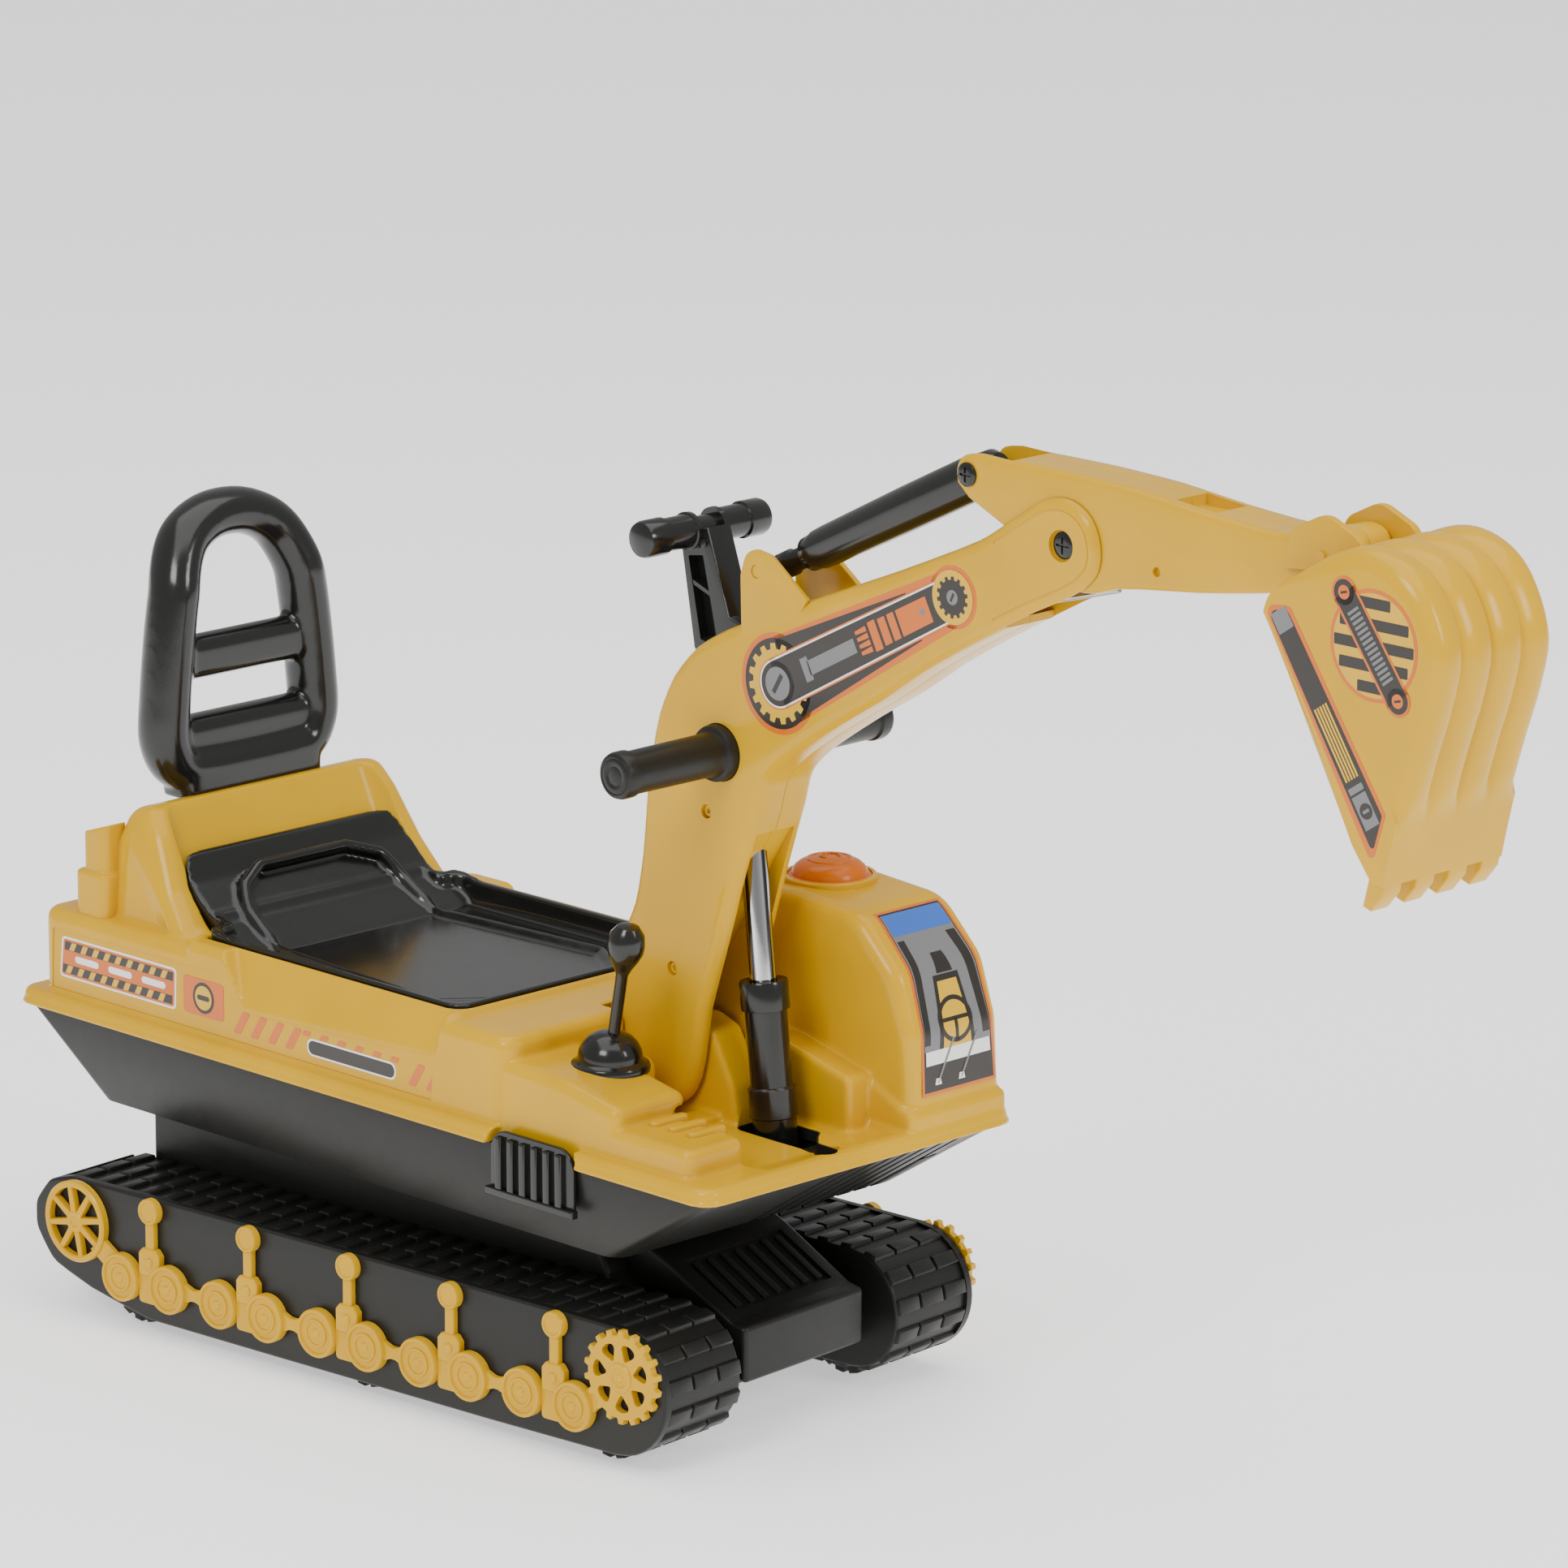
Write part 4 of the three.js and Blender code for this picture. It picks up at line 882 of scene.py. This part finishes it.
right_half = boom_half()
left_half = mirrored(right_half)
PLUG = [(0, 0), (4.5, 0), (4.5, 2), (3.4, 3), (1.8, 3), (1.4, 1.4), (0, 1.4)]
plugs = [turned(PLUG, (x, -21, z), (x, -22, z), 24) for x, z in PLUGS_AT]
piece("boom_right_shell", group(right_half, *plugs), "boom", YELLOW, "boom_right_half")
piece("boom_left_shell", left_half, "boom", YELLOW, "boom_left_half")
piece(
    "arm_pivot_head", screw(*ARM_PIVOT, -24.8, 8.4, -1), "boom", GLOSS_BLACK, "arm_pivot_screw",
    slot="steel",
)

GRIP = [
    (0, 20), (18, 20), (18, 31), (17.4, 32.4), (14.9, 33.6), (14.2, 36), (13.9, 40), (13.7, 104),
    (15, 105.4), (15, 112), (14.2, 114.4), (12, 115.6), (11.2, 115.2), (10.2, 115.8), (7, 115.8),
    (6.2, 115.2), (3, 115.9), (0, 115.9),
]
piece("bar", pin(BAR_AT, -108, 108, 11, 40, 1), "boom", GLOSS_BLACK, "handle_bar")


def grips(profile, at, sides, node, ending, body, material):
    """The same grip on both ends of a bar; {} in the node's name stands for the side."""
    x, z = at
    for side_name, side in SIDES:
        own = node.format(side_name)
        piece(own + ending, turned(profile, (x, 0, z), (x, side, z), sides), body, material, own)


grips(GRIP, BAR_AT, 56, "{}_hand_grip", "_sleeve", "boom", SATIN_BLACK)

# ---- boom cylinder ----
BARREL = [
    (0, -6), (8.5, -6), (9, -4), (9, 17), (12.6, 17.6), (14, 20), (14.2, 41), (15.2, 41.8), (15.2, 60),
    (14.4, 61), (13.4, 61.6), (13.4, 110), (15.4, 110.6), (15.6, 112), (15.6, 127.6), (15, 129),
    (11, 129), (9.2, 128), (9.2, 80), (0, 80),
]
foot = (BARREL_FOOT[0], 0, BARREL_FOOT[1])
eye = (ROD_EYE[0], 0, ROD_EYE[1])
piece("barrel", turned(BARREL, foot, eye, 48), "boom_barrel", GLOSS_BLACK, "boom_cylinder_barrel")
reach = (Vector(eye) - Vector(foot)).length
rod_profile = [(0, 47), (8.3, 47), (8.5, 48), (8.5, reach - 16), (7.5, reach - 12), (7.5, reach + 6)]
rod_profile += [(6.5, reach + 8), (0, reach + 8)]
piece("chrome_rod", turned(rod_profile, foot, eye, 48), "boom_rod", CHROME, "boom_cylinder_rod")

# ---- arm ----
ARM = [
    (433, 642), (432, 651), (436, 658.5), (444, 661.5), (470, 662), (530, 662), (581, 660), (633, 655),
    (690, 652), (715, 656), (730, 659.5), (741, 656), (745, 645), (741, 634), (728, 628), (690, 616),
    (630, 606), (563, 597.5), (545, 592), (522, 592), (505, 598), (490, 609), (470, 622),
]
ARM_LINE = spline(ARM, 3)


def arm_half():
    half = prism(ARM_LINE, -20.5, -0.15, 4, 0.4)
    cut(
        half, prism([(415, 600), (476, 631), (478, 700), (415, 700)], -16.5, 5),
        prism(
            rounded([(602, 690), (606, 650.5, 1), (632, 650.5, 8), (645, 662), (650, 690)]), -13.5, 5,
        ),
        prism(rectangle(520, 580, 580, 606), -3.5, 5), pin((597, 614), -25, -17.5, 3),
    )
    return half


both_sides("arm_{}_shell", arm_half(), "arm", YELLOW, "arm_{}_half")
eye_screw = group(screw(*ARM_EAR, -23, 7.4, -1), screw(*ARM_EAR, 23, 7.4, 1), pin(ARM_EAR, -21, 21, 4))
piece("arm_cylinder_bolt", eye_screw, "arm", GLOSS_BLACK, "arm_cylinder_screw", slot="steel")

# ---- arm cylinder ----
low = (BOOM_EAR[0], 0, BOOM_EAR[1])
high = (ARM_EAR[0], 0, ARM_EAR[1])
span = (Vector(high) - Vector(low)).length
ram = [(0, -8), (7, -8), (8.5, -4), (8.5, 8), (7, 10), (7, 120), (0, 120)]
piece("ram", turned(ram, low, high, 40), "arm_rod", GLOSS_BLACK, "arm_cylinder_rod")
sleeve = [
    (7.4, 24), (10.4, 24), (11.2, 25), (11.6, 34), (12.6, 35), (13, 44), (14, 120), (14, span - 14),
    (12.6, span - 6), (11.8, span + 4), (8, span + 9), (0, span + 9), (0, 170), (7.4, 170),
]
piece("ram_sleeve", turned(sleeve, low, high, 48), "arm_tube", GLOSS_BLACK, "arm_cylinder_tube")

# ---- T-lever and pull rod ----
LEVER = [
    (184, 573), (197, 500), (223, 465, 4), (230, 457.5, 6), (243, 457.5, 6), (251, 470, 6),
    (261, 506, 6), (255, 520, 6), (238, 521), (228, 524), (209, 578),
]
t_lever = across(LEVER, -10, 10, 0.9)
recess = rounded([(192, 558, 1), (203, 506, 1), (219, 503, 1), (205, 560, 1)])
crossing = rounded([(196, 540), (213, 534), (212, 537), (195.5, 543)])
fuse(t_lever, pin(GRIP_AT, -46, 46, 8, 32))
pull_slot = prism([(238, 488), (280, 488), (280, 540), (234, 540)], -3.5, 3.5)
cut(t_lever, prism(recess, -12, -3), prism(recess, 3, 12), pull_slot)
ribs = [prism(crossing, -9.6, 9.6), pin((206, 568), -11, 11, 2.6), pin((200, 566), -11, 11, 2.6)]
piece("t_lever_stem", group(t_lever, *ribs), "t_lever", GLOSS_BLACK, "t_lever")
HANDLE = [
    (0, 9.5), (11.8, 9.5), (12, 13), (10.9, 13.6), (10.6, 20), (10.6, 33.6), (11.9, 34.4), (11.9, 49),
    (11, 51.6), (9, 52.8), (0, 53.2),
]
grips(HANDLE, GRIP_AT, 44, "t_lever_{}_grip", "_end", "t_lever", GLOSS_BLACK)
wire = rod(LINK_START, LINK_END, 2, 20, 0.4)
piece("pull_wire", wire, "pull_rod", STEEL, "bucket_pull_rod")

# ---- bucket ----
BUCKET = [
    (709, 614), (713, 624), (735, 641), (758, 653), (780, 659.5), (800, 657), (818, 647), (831, 629),
    (839, 604), (834, 576), (824, 545), (815, 515), (807, 482), (804, 468), (796, 468), (780, 489),
    (745, 544),
]
INSIDE = [
    (700, 607), (716, 618), (737, 636), (760, 648), (780, 655), (798, 652.5), (814.5, 643),
    (827, 626.5), (834.5, 603.5), (829.6, 577), (819.6, 546.5), (810.6, 516), (802, 482), (799, 460),
    (780, 440), (690, 560),
]


def bulge_share(x, z):
    """The share of the back's bulges at a point of its outline: none at the lip or the mount."""
    rise = min(1, max(0, (x - 716) / 40))
    fade = min(1, max(0, (z - 509) / 9))
    return rise * fade


def smooth_back(points, per):
    """The outline with its back (the first 13 points) smoothed and its mouth left straight."""
    curve = spline(points, per)
    return curve[: 12 * per] + points[12:]


def bucket_shell():
    outline = smooth_back(BUCKET, 4)
    rings = []
    rim = [48.4, 50.4, 51.6, 52]
    stations = [-y for y in reversed(rim)] + [-46 + 92 * k / 56 for k in range(57)] + rim
    for y in stations:
        edge = max(0, abs(y) - 44) / 8
        drawn_in = 8 * (1 - math.sqrt(max(0, 1 - edge * edge)))
        wave = 4.6 * abs(math.sin(math.pi * y / 26)) ** 0.6
        depth = []
        for x, z in outline:
            share = bulge_share(x, z)
            depth.append(drawn_in * share - (wave - 2.2) * share)
        rings.append([(x, y, z) for x, z in inset(outline, depth)])
    return lofted(rings)


bucket = bucket_shell()
cut(bucket, prism(INSIDE, -48, 48))
TOOTH = [(794, 478), (806, 478), (803, 463), (794, 452), (788, 454), (791, 466)]
teeth = [prism(TOOTH, y - 8, y + 8, 1, 1) for y in (-43, -14.33, 14.33, 43)]
BRACKET = [(700, 634), (706, 658, 14), (732, 671, 16), (758, 660, 12), (770, 640)]
ears = [across(BRACKET, -26.5, -21.2, 1), across(BRACKET, 21.2, 26.5, 1)]
cut(bucket, prism(rectangle(690, 752, 600, 700), -21.2, 21.2))
fuse(bucket, *teeth, *ears)
piece("scoop", bucket, "bucket", YELLOW, "bucket", 32)

# ---- printed labels (generic patterns, no words) ----


def label(name, layers, body):
    """A stack of thin printed shapes."""
    piece(name, group(*layers), body, slot=SLOT[YELLOW])


def printer(y, toward):
    """An empty list of prints for a side face at y, and the call that adds to it.

    Level 1 lies on the face, and each next one above it."""
    layers = []

    def add(outline, level, ink):
        height = 0.12 + 0.1 * level
        bounds = sorted((y - toward * 0.05, y + toward * height))
        layers.append(inked(prism(outline, *bounds), ink))

    return layers, add


def shear(x0, x1, z0, z1, slant, radius=1.0):
    """A leaning bar: its top is moved by slant."""
    corners = [(x0, z0), (x1, z0), (x1 + slant, z1), (x0 + slant, z1)]
    return rounded([(x, z, radius) for x, z in corners], 3)


def sign(corners, radius):
    return rounded([(x, z, radius) for x, z in corners], 4)


def side_print(toward):
    """A hazard panel, a round sign, a row of leaning bars and a dark pill."""
    layers, add = printer(128.15 * toward, toward)
    add(sign([(-283, 242), (-167, 242), (-168, 214), (-286, 214)], 3), 1, "pale")
    add(sign([(-281.5, 240.5), (-168.5, 240.5), (-169.5, 215.5), (-284.5, 215.5)], 2), 2, "orange")
    add([(-280, 239), (-170, 239), (-170.5, 233), (-280.8, 233)], 3, "black")
    add([(-282.5, 223), (-171, 223), (-171.4, 217), (-283.2, 217)], 3, "black")
    for k in range(9):
        add(shear(-276 + 11.6 * k, -271 + 11.6 * k, 233.3, 238.7, 3, 0.3), 4, "gold")
        add(shear(-280 + 11.8 * k, -275 + 11.8 * k, 217.3, 222.7, 3, 0.3), 4, "gold")
    for k in range(3):
        add(rectangle(-270 + 34 * k, -246 + 34 * k, 225.8, 230.4, 2.2, 3), 3, "pale")
    add(sign([(-160, 240), (-120, 240), (-120, 215), (-160, 215)], 3), 1, "orange")
    add(circle(-140, 227.5, 10.5, 32), 2, "black")
    add(circle(-140, 227.5, 8.2, 32), 3, "gold")
    add(rectangle(-146, -134, 225.8, 229.2, 1.5, 3), 4, "black")
    for k in range(12):
        x = -111 + 16.9 * k
        if -45 < x < 46:
            add(shear(x, x + 7, 222.6, 226, 2.3, 0.4), 1, "orange")
        elif x < 82:
            add(shear(x, x + 7, 210.5, 226, 10, 1), 1, "orange")
    add(rectangle(-38, 47, 210.5, 222, 5, 4), 2, "pale")
    add(rectangle(-36.8, 45.8, 211.7, 220.8, 4.4, 4), 3, "black")
    return layers


def gear(centre, outer, inner, count):
    steps = [(0.0, inner), (0.2, inner), (0.3, outer), (0.7, outer), (0.8, inner)]
    return toothed(centre, count, steps)


def bar(a, b, start, end, half, half_end=None):
    """A strip between two shares of the way from a to b."""
    a, b = Vector(a), Vector(b)
    way = b - a
    side = Vector((-way.y, way.x)).normalized()
    half_end = half if half_end is None else half_end
    corners = [(start, half), (end, half_end), (end, -half_end), (start, -half)]
    return [tuple(a + way * share + side * offset) for share, offset in corners]


def dash(at, half_way, half):
    """A short strip centred at a point, half_way long each way."""
    at, half_way = Vector(at), Vector(half_way)
    return bar(at - half_way, at + half_way, 0, 1, half)


BIG_GEAR, SMALL_GEAR = (288.3, 494.9), (437.1, 573.6)
BOOM_WAY = Vector((148.8, 78.7))


def boom_print(toward):
    """A band of drawn machinery between two gears."""
    layers, add = printer(26 * toward, toward)
    big, small = BIG_GEAR, SMALL_GEAR

    def link(*values):
        return bar(big, small, *values)

    add(link(0.02, 0.97, 28, 17.5), 1, "orange")
    add(circle(*big, 32), 1, "orange")
    add(circle(*small, 19.5), 1, "orange")
    add(link(0.06, 0.78, 25.6, 15.4), 2, "black")
    add(circle(*big, 28.6), 2, "black")
    add(gear(big, 25.4, 21.6, 16), 3, "gold")
    add(circle(*small, 16.8, 40), 7, "gold")
    bands = ((16.4, 14, 4, "orange"), (15.4, 13.1, 5, "pale"), (14.2, 12, 6, "black"))
    for half, half_end, level, ink in bands:
        add(link(0, 1, half, half_end), level, ink)
        add(circle(*big, half, 40), level, ink)
    add(gear(small, 13, 10.8, 14), 8, "black")
    add(circle(*big, 10.6, 32), 7, "grey")
    add(circle(*small, 4.6, 24), 9, "grey")
    add(dash(big, (3.5, 6), 1.6), 8, "black")
    add(dash(small, (1.2, 2.6), 0.9), 10, "black")
    add(link(0.15, 0.19, 7.6), 7, "grey")
    add(link(0.18, 0.45, 4.6), 7, "grey")
    add(link(0.6, 0.87, 8.6, 8.2), 7, "orange")
    add(link(0.545, 0.585, 9.4), 7, "orange")
    add(circle(412, 560.5, 2.2, 20), 8, "grey")
    for k in range(4):
        near = Vector(big) + Vector((-0.467, 0.884)) * (6.6 - 4.4 * k)
        add(bar(near, near + BOOM_WAY, 0.47, 0.53, 1.1, 1.7), 7, "orange")
    for k in range(2):
        add(link(0.64 + 0.05 * k, 0.652 + 0.05 * k, 8.6), 8, "black")
    return layers


STRIP_TOP, STRIP_FOOT = Vector((719.8, 617.4)), Vector((798.4, 499))
SIGN_X, SIGN_Z = 793.5, 607.8


def bucket_print(toward):
    """A drawn piston along the mouth, and a striped round sign under a screwed bar."""
    layers, add = printer(52 * toward, toward)
    along = (STRIP_FOOT - STRIP_TOP).normalized()
    sideways = Vector((-along.y, along.x))

    def strip(s0, s1, t0, t1):
        """A part of the strip between two distances along it and two across it."""
        corners = [(s0, t0), (s1, t0), (s1, t1), (s0, t1)]
        return [tuple(STRIP_TOP + along * s + sideways * t) for s, t in corners]

    add(rounded([(709.5, 618.5, 5), (729.5, 620.5, 5), (805, 511, 3), (795.6, 480, 3)], 4), 1, "orange")
    add(rounded([(712.6, 616, 4), (728.2, 617.4, 4), (802.4, 510, 3), (796, 487, 2)], 4), 2, "black")
    add(strip(1, 14, -6, 6.6), 3, "grey")
    add(strip(112, 138, -6.2, 5.6), 3, "grey")
    add(strip(116, 117.4, -6.2, 5.6), 4, "black")
    for k in range(5):
        add(strip(62, 108, -5.4 + 2.4 * k, -4.0 + 2.4 * k), 3, "gold")
    hub = STRIP_TOP + along * 128
    add(circle(hub.x, hub.y, 4.8, 24), 4, "black")
    add(dash(hub, sideways * 2.6, 0.9), 5, "grey")
    add(circle(SIGN_X, SIGN_Z, 32.7, 56), 1, "orange")
    add(circle(SIGN_X, SIGN_Z, 30.4, 56), 2, "gold")
    for k in range(5):
        z = SIGN_Z + 12.2 * (k - 2)
        half = math.sqrt(30**2 - (abs(z - SIGN_Z) + 3.2) ** 2)
        add(rectangle(SIGN_X - half, SIGN_X + half, z - 3.3, z + 3.3, 0.6, 2), 3, "black")
    near, far = Vector((770.6, 635.4)), Vector((812.4, 578.8))
    for half, level, ink in ((9.2, 4, "orange"), (7.6, 5, "black")):
        add(bar(near, far, 0, 1, half), level, ink)
        add(circle(*near, half, 28), level, ink)
        add(circle(*far, half, 28), level, ink)
    for end in (near, far):
        add(circle(*end, 4.2, 20), 6, "orange")
        add(dash(end, (2.4, 0.6), 0.7), 7, "black")
    for k in range(15):
        add(bar(near, far, 0.16 + 0.046 * k, 0.185 + 0.046 * k, 4.6), 6, "grey")
    return layers


for side_name, side in SIDES:
    label(f"{side_name}_side_print", side_print(side), "upper_body")
    label(f"{side_name}_boom_print", boom_print(side), "boom")
    label(f"{side_name}_bucket_print", bucket_print(side), "bucket")

HOOD_LINE = rounded(HOOD, 7)


def hood_front():
    """The hood's outline from the sill up, where it carries the windscreen: (length so far, x, z)."""
    out = [(0.0, 334.0, 222.0)]
    for x, z in sorted(HOOD_LINE, key=lambda p: p[1]):
        if x > 280 and z > 223:
            step = Vector((x, z)) - Vector(out[-1][1:])
            out.append((out[-1][0] + step.length, x, z))
    return out


FRONT_RUN = hood_front()
SCREEN_HEIGHT = FRONT_RUN[-1][0] - 3


def on_screen(s, y, height):
    """A point of the windscreen: s up the curve, y across, height out of it."""
    s = max(0, min(s, FRONT_RUN[-1][0]))
    for a, b in zip(FRONT_RUN, FRONT_RUN[1:]):
        if s <= b[0]:
            t = (s - a[0]) / (b[0] - a[0])
            way = Vector((b[1] - a[1], b[2] - a[2])).normalized()
            x = a[1] + t * (b[1] - a[1]) + way.y * height
            z = a[2] + t * (b[2] - a[2]) - way.x * height
            return x, y, z


def skin(level):
    """The lowest and highest distance of a printed layer from the screen."""
    return -0.1, 0.15 + 0.1 * level


def screen_patch(y0, y1, s0, s1, level, ink, lean0=0.0, lean1=0.0):
    """A printed patch bent over the curve; its sides lean in by lean0 and lean1 towards the top."""
    low, high = skin(level)
    rings = []
    for k in range(25):
        s = s0 + (s1 - s0) * k / 24
        a = y0 + lean0 * k / 24
        b = y1 - lean1 * k / 24
        rings.append([on_screen(s, y, h) for y, h in ((a, low), (b, low), (b, high), (a, high))])
    return inked(lofted(rings), ink)


def screen_ring(y, s, radius, half, level, ink):
    """A printed ring bent over the curve."""
    low, high = skin(level)
    near, far = radius - half, radius + half
    corners = [(near, low), (far, low), (far, high), (near, high)]
    rings = []
    for k in range(36):
        q = 2 * math.pi * k / 36
        rings.append([on_screen(s + r * math.sin(q), y + r * math.cos(q), h) for r, h in corners])
    return inked(lofted(rings, True), ink)


def windscreen():
    """A seat, a steering wheel and two wipers behind a plain orange frame."""
    top = SCREEN_HEIGHT
    patches = [
        (57, 123, 0, top, 1, "orange", 5, 3),
        (59, 121, 2, top - 2, 2, "black", 5, 3),
        (60.6, 119.4, 28, top - 3.6, 3, "grey", 3.8, 2.4),
        (65, 116.8, top - 20, top - 3.6, 4, "sky", 0.5, 0.4),
        (61, 66, 32, top - 24, 4, "black", 4, -5),
        (113, 119, 32, top - 24, 4, "black", -5, 3),
        (74, 106, 28, 74, 4, "black", 5, 5),
        (77.5, 102.5, 28, 70, 5, "gold", 4, 4),
        (83, 97, 75, 89, 4, "black", 2, 2),
        (61.4, 118.8, 19, 28, 4, "pale", 0.3, 0.3),
        (77, 103, 44, 46.6, 6, "black"),
        (88.6, 91.4, 30, 45, 6, "black"),
    ]
    for y in (70, 91):
        patches.append((y, y + 1.6, 7, 34, 7, "grey", 16, -16))
        patches.append((y - 1.5, y + 4, 6, 10, 7, "pale", 1, 1))
    layers = [screen_patch(*patch) for patch in patches]
    layers.insert(10, screen_ring(90, 45, 13.5, 1.5, 6, "black"))
    return layers


label("windscreen_print", windscreen(), "upper_body")

# ---- parts shown as they were modelled ----
PLAIN = {
    "front_axle": CHROME, "middle_axle": CHROME, "rear_axle": CHROME, "slew_pivot_bolt": CHROME,
    "slew_bearing_ring": SATIN_BLACK, "boom_pivot_pin": GLOSS_BLACK,
    "boom_cylinder_base_pin": GLOSS_BLACK, "boom_cylinder_top_pin": GLOSS_BLACK,
    "arm_cylinder_pin": YELLOW, "t_lever_pin": GLOSS_BLACK, "bucket_pin": YELLOW,
}
for node, material in PLAIN.items():
    shown = frame["nodes"][node]
    shown.data.materials.clear()
    shown.data.materials.append(material)

# ---- studio ----
FLOOR_HALF = 9000
floor = block(-FLOOR_HALF, FLOOR_HALF, -FLOOR_HALF, FLOOR_HALF, -20, -0.2, 10)
floor.data.transform(MM)
floor.name = "studio_floor"
paper = bpy.data.materials.new("studio_paper")
paper.use_nodes = True
WHITE = (1, 1, 1, 1)
PAPER = {
    "Base Color": (0.93, 0.93, 0.93, 1), "Roughness": 0.9, "Emission Color": WHITE,
    "Emission Strength": 0.7,
}
for socket, value in PAPER.items():
    paper.node_tree.nodes["Principled BSDF"].inputs[socket].default_value = value
floor.data.materials.append(paper)

world = bpy.data.worlds.new("studio")
world.use_nodes = True
sky = world.node_tree.nodes["Background"].inputs
sky["Color"].default_value = WHITE
sky["Strength"].default_value = 0.55
bpy.context.scene.world = world


def softbox(name, at, target, size, power):
    lamp = bpy.data.lights.new(name, "AREA")
    lamp.shape = "RECTANGLE"
    lamp.size, lamp.size_y = size
    lamp.energy = power
    item = bpy.data.objects.new(name, lamp)
    item.location = at
    item.rotation_euler = (Vector(target) - Vector(at)).to_track_quat("-Z", "Y").to_euler()
    bpy.context.scene.collection.objects.link(item)


softbox("sky_panel", (0.3, -0.3, 5.0), (0, 0, 0), (6.0, 6.0), 230)
softbox("key_light", (0.6, -3.4, 3.0), (0, 0, 0.3), (1.6, 1.2), 75)
softbox("front_light", (3.6, 0.4, 2.2), (0, 0, 0.3), (1.2, 1.2), 50)

# ---- camera ----
AZIMUTH, HEIGHT_ANGLE, ROLL = math.radians(40.861), math.radians(14.138), math.radians(0.184)
LENS_MM, SENSOR_MM = 182.81, 36.0
flat_share = math.cos(HEIGHT_ANGLE)
back = Vector((math.sin(AZIMUTH) * flat_share, -math.cos(AZIMUTH) * flat_share, math.sin(HEIGHT_ANGLE)))
level = Vector((math.cos(AZIMUTH), math.sin(AZIMUTH), 0))
over = back.cross(level)
right = level * math.cos(ROLL) + over * math.sin(ROLL)
upward = over * math.cos(ROLL) - level * math.sin(ROLL)
aim = Vector((SLEW_AT[0] + 0.25, SLEW_AT[1], 0.006))
lens = bpy.data.cameras.new("photo_camera")
lens.sensor_width = SENSOR_MM
lens.lens = LENS_MM
lens.clip_end = 30
camera = bpy.data.objects.new("photo_camera", lens)
stands_at = aim + right * 0.00027 + upward * 0.39778 + back * 5.0747
camera.matrix_world = Matrix.Translation(stands_at) @ Matrix((right, upward, back)).transposed().to_4x4()
bpy.context.scene.collection.objects.link(camera)
bpy.context.scene.camera = camera
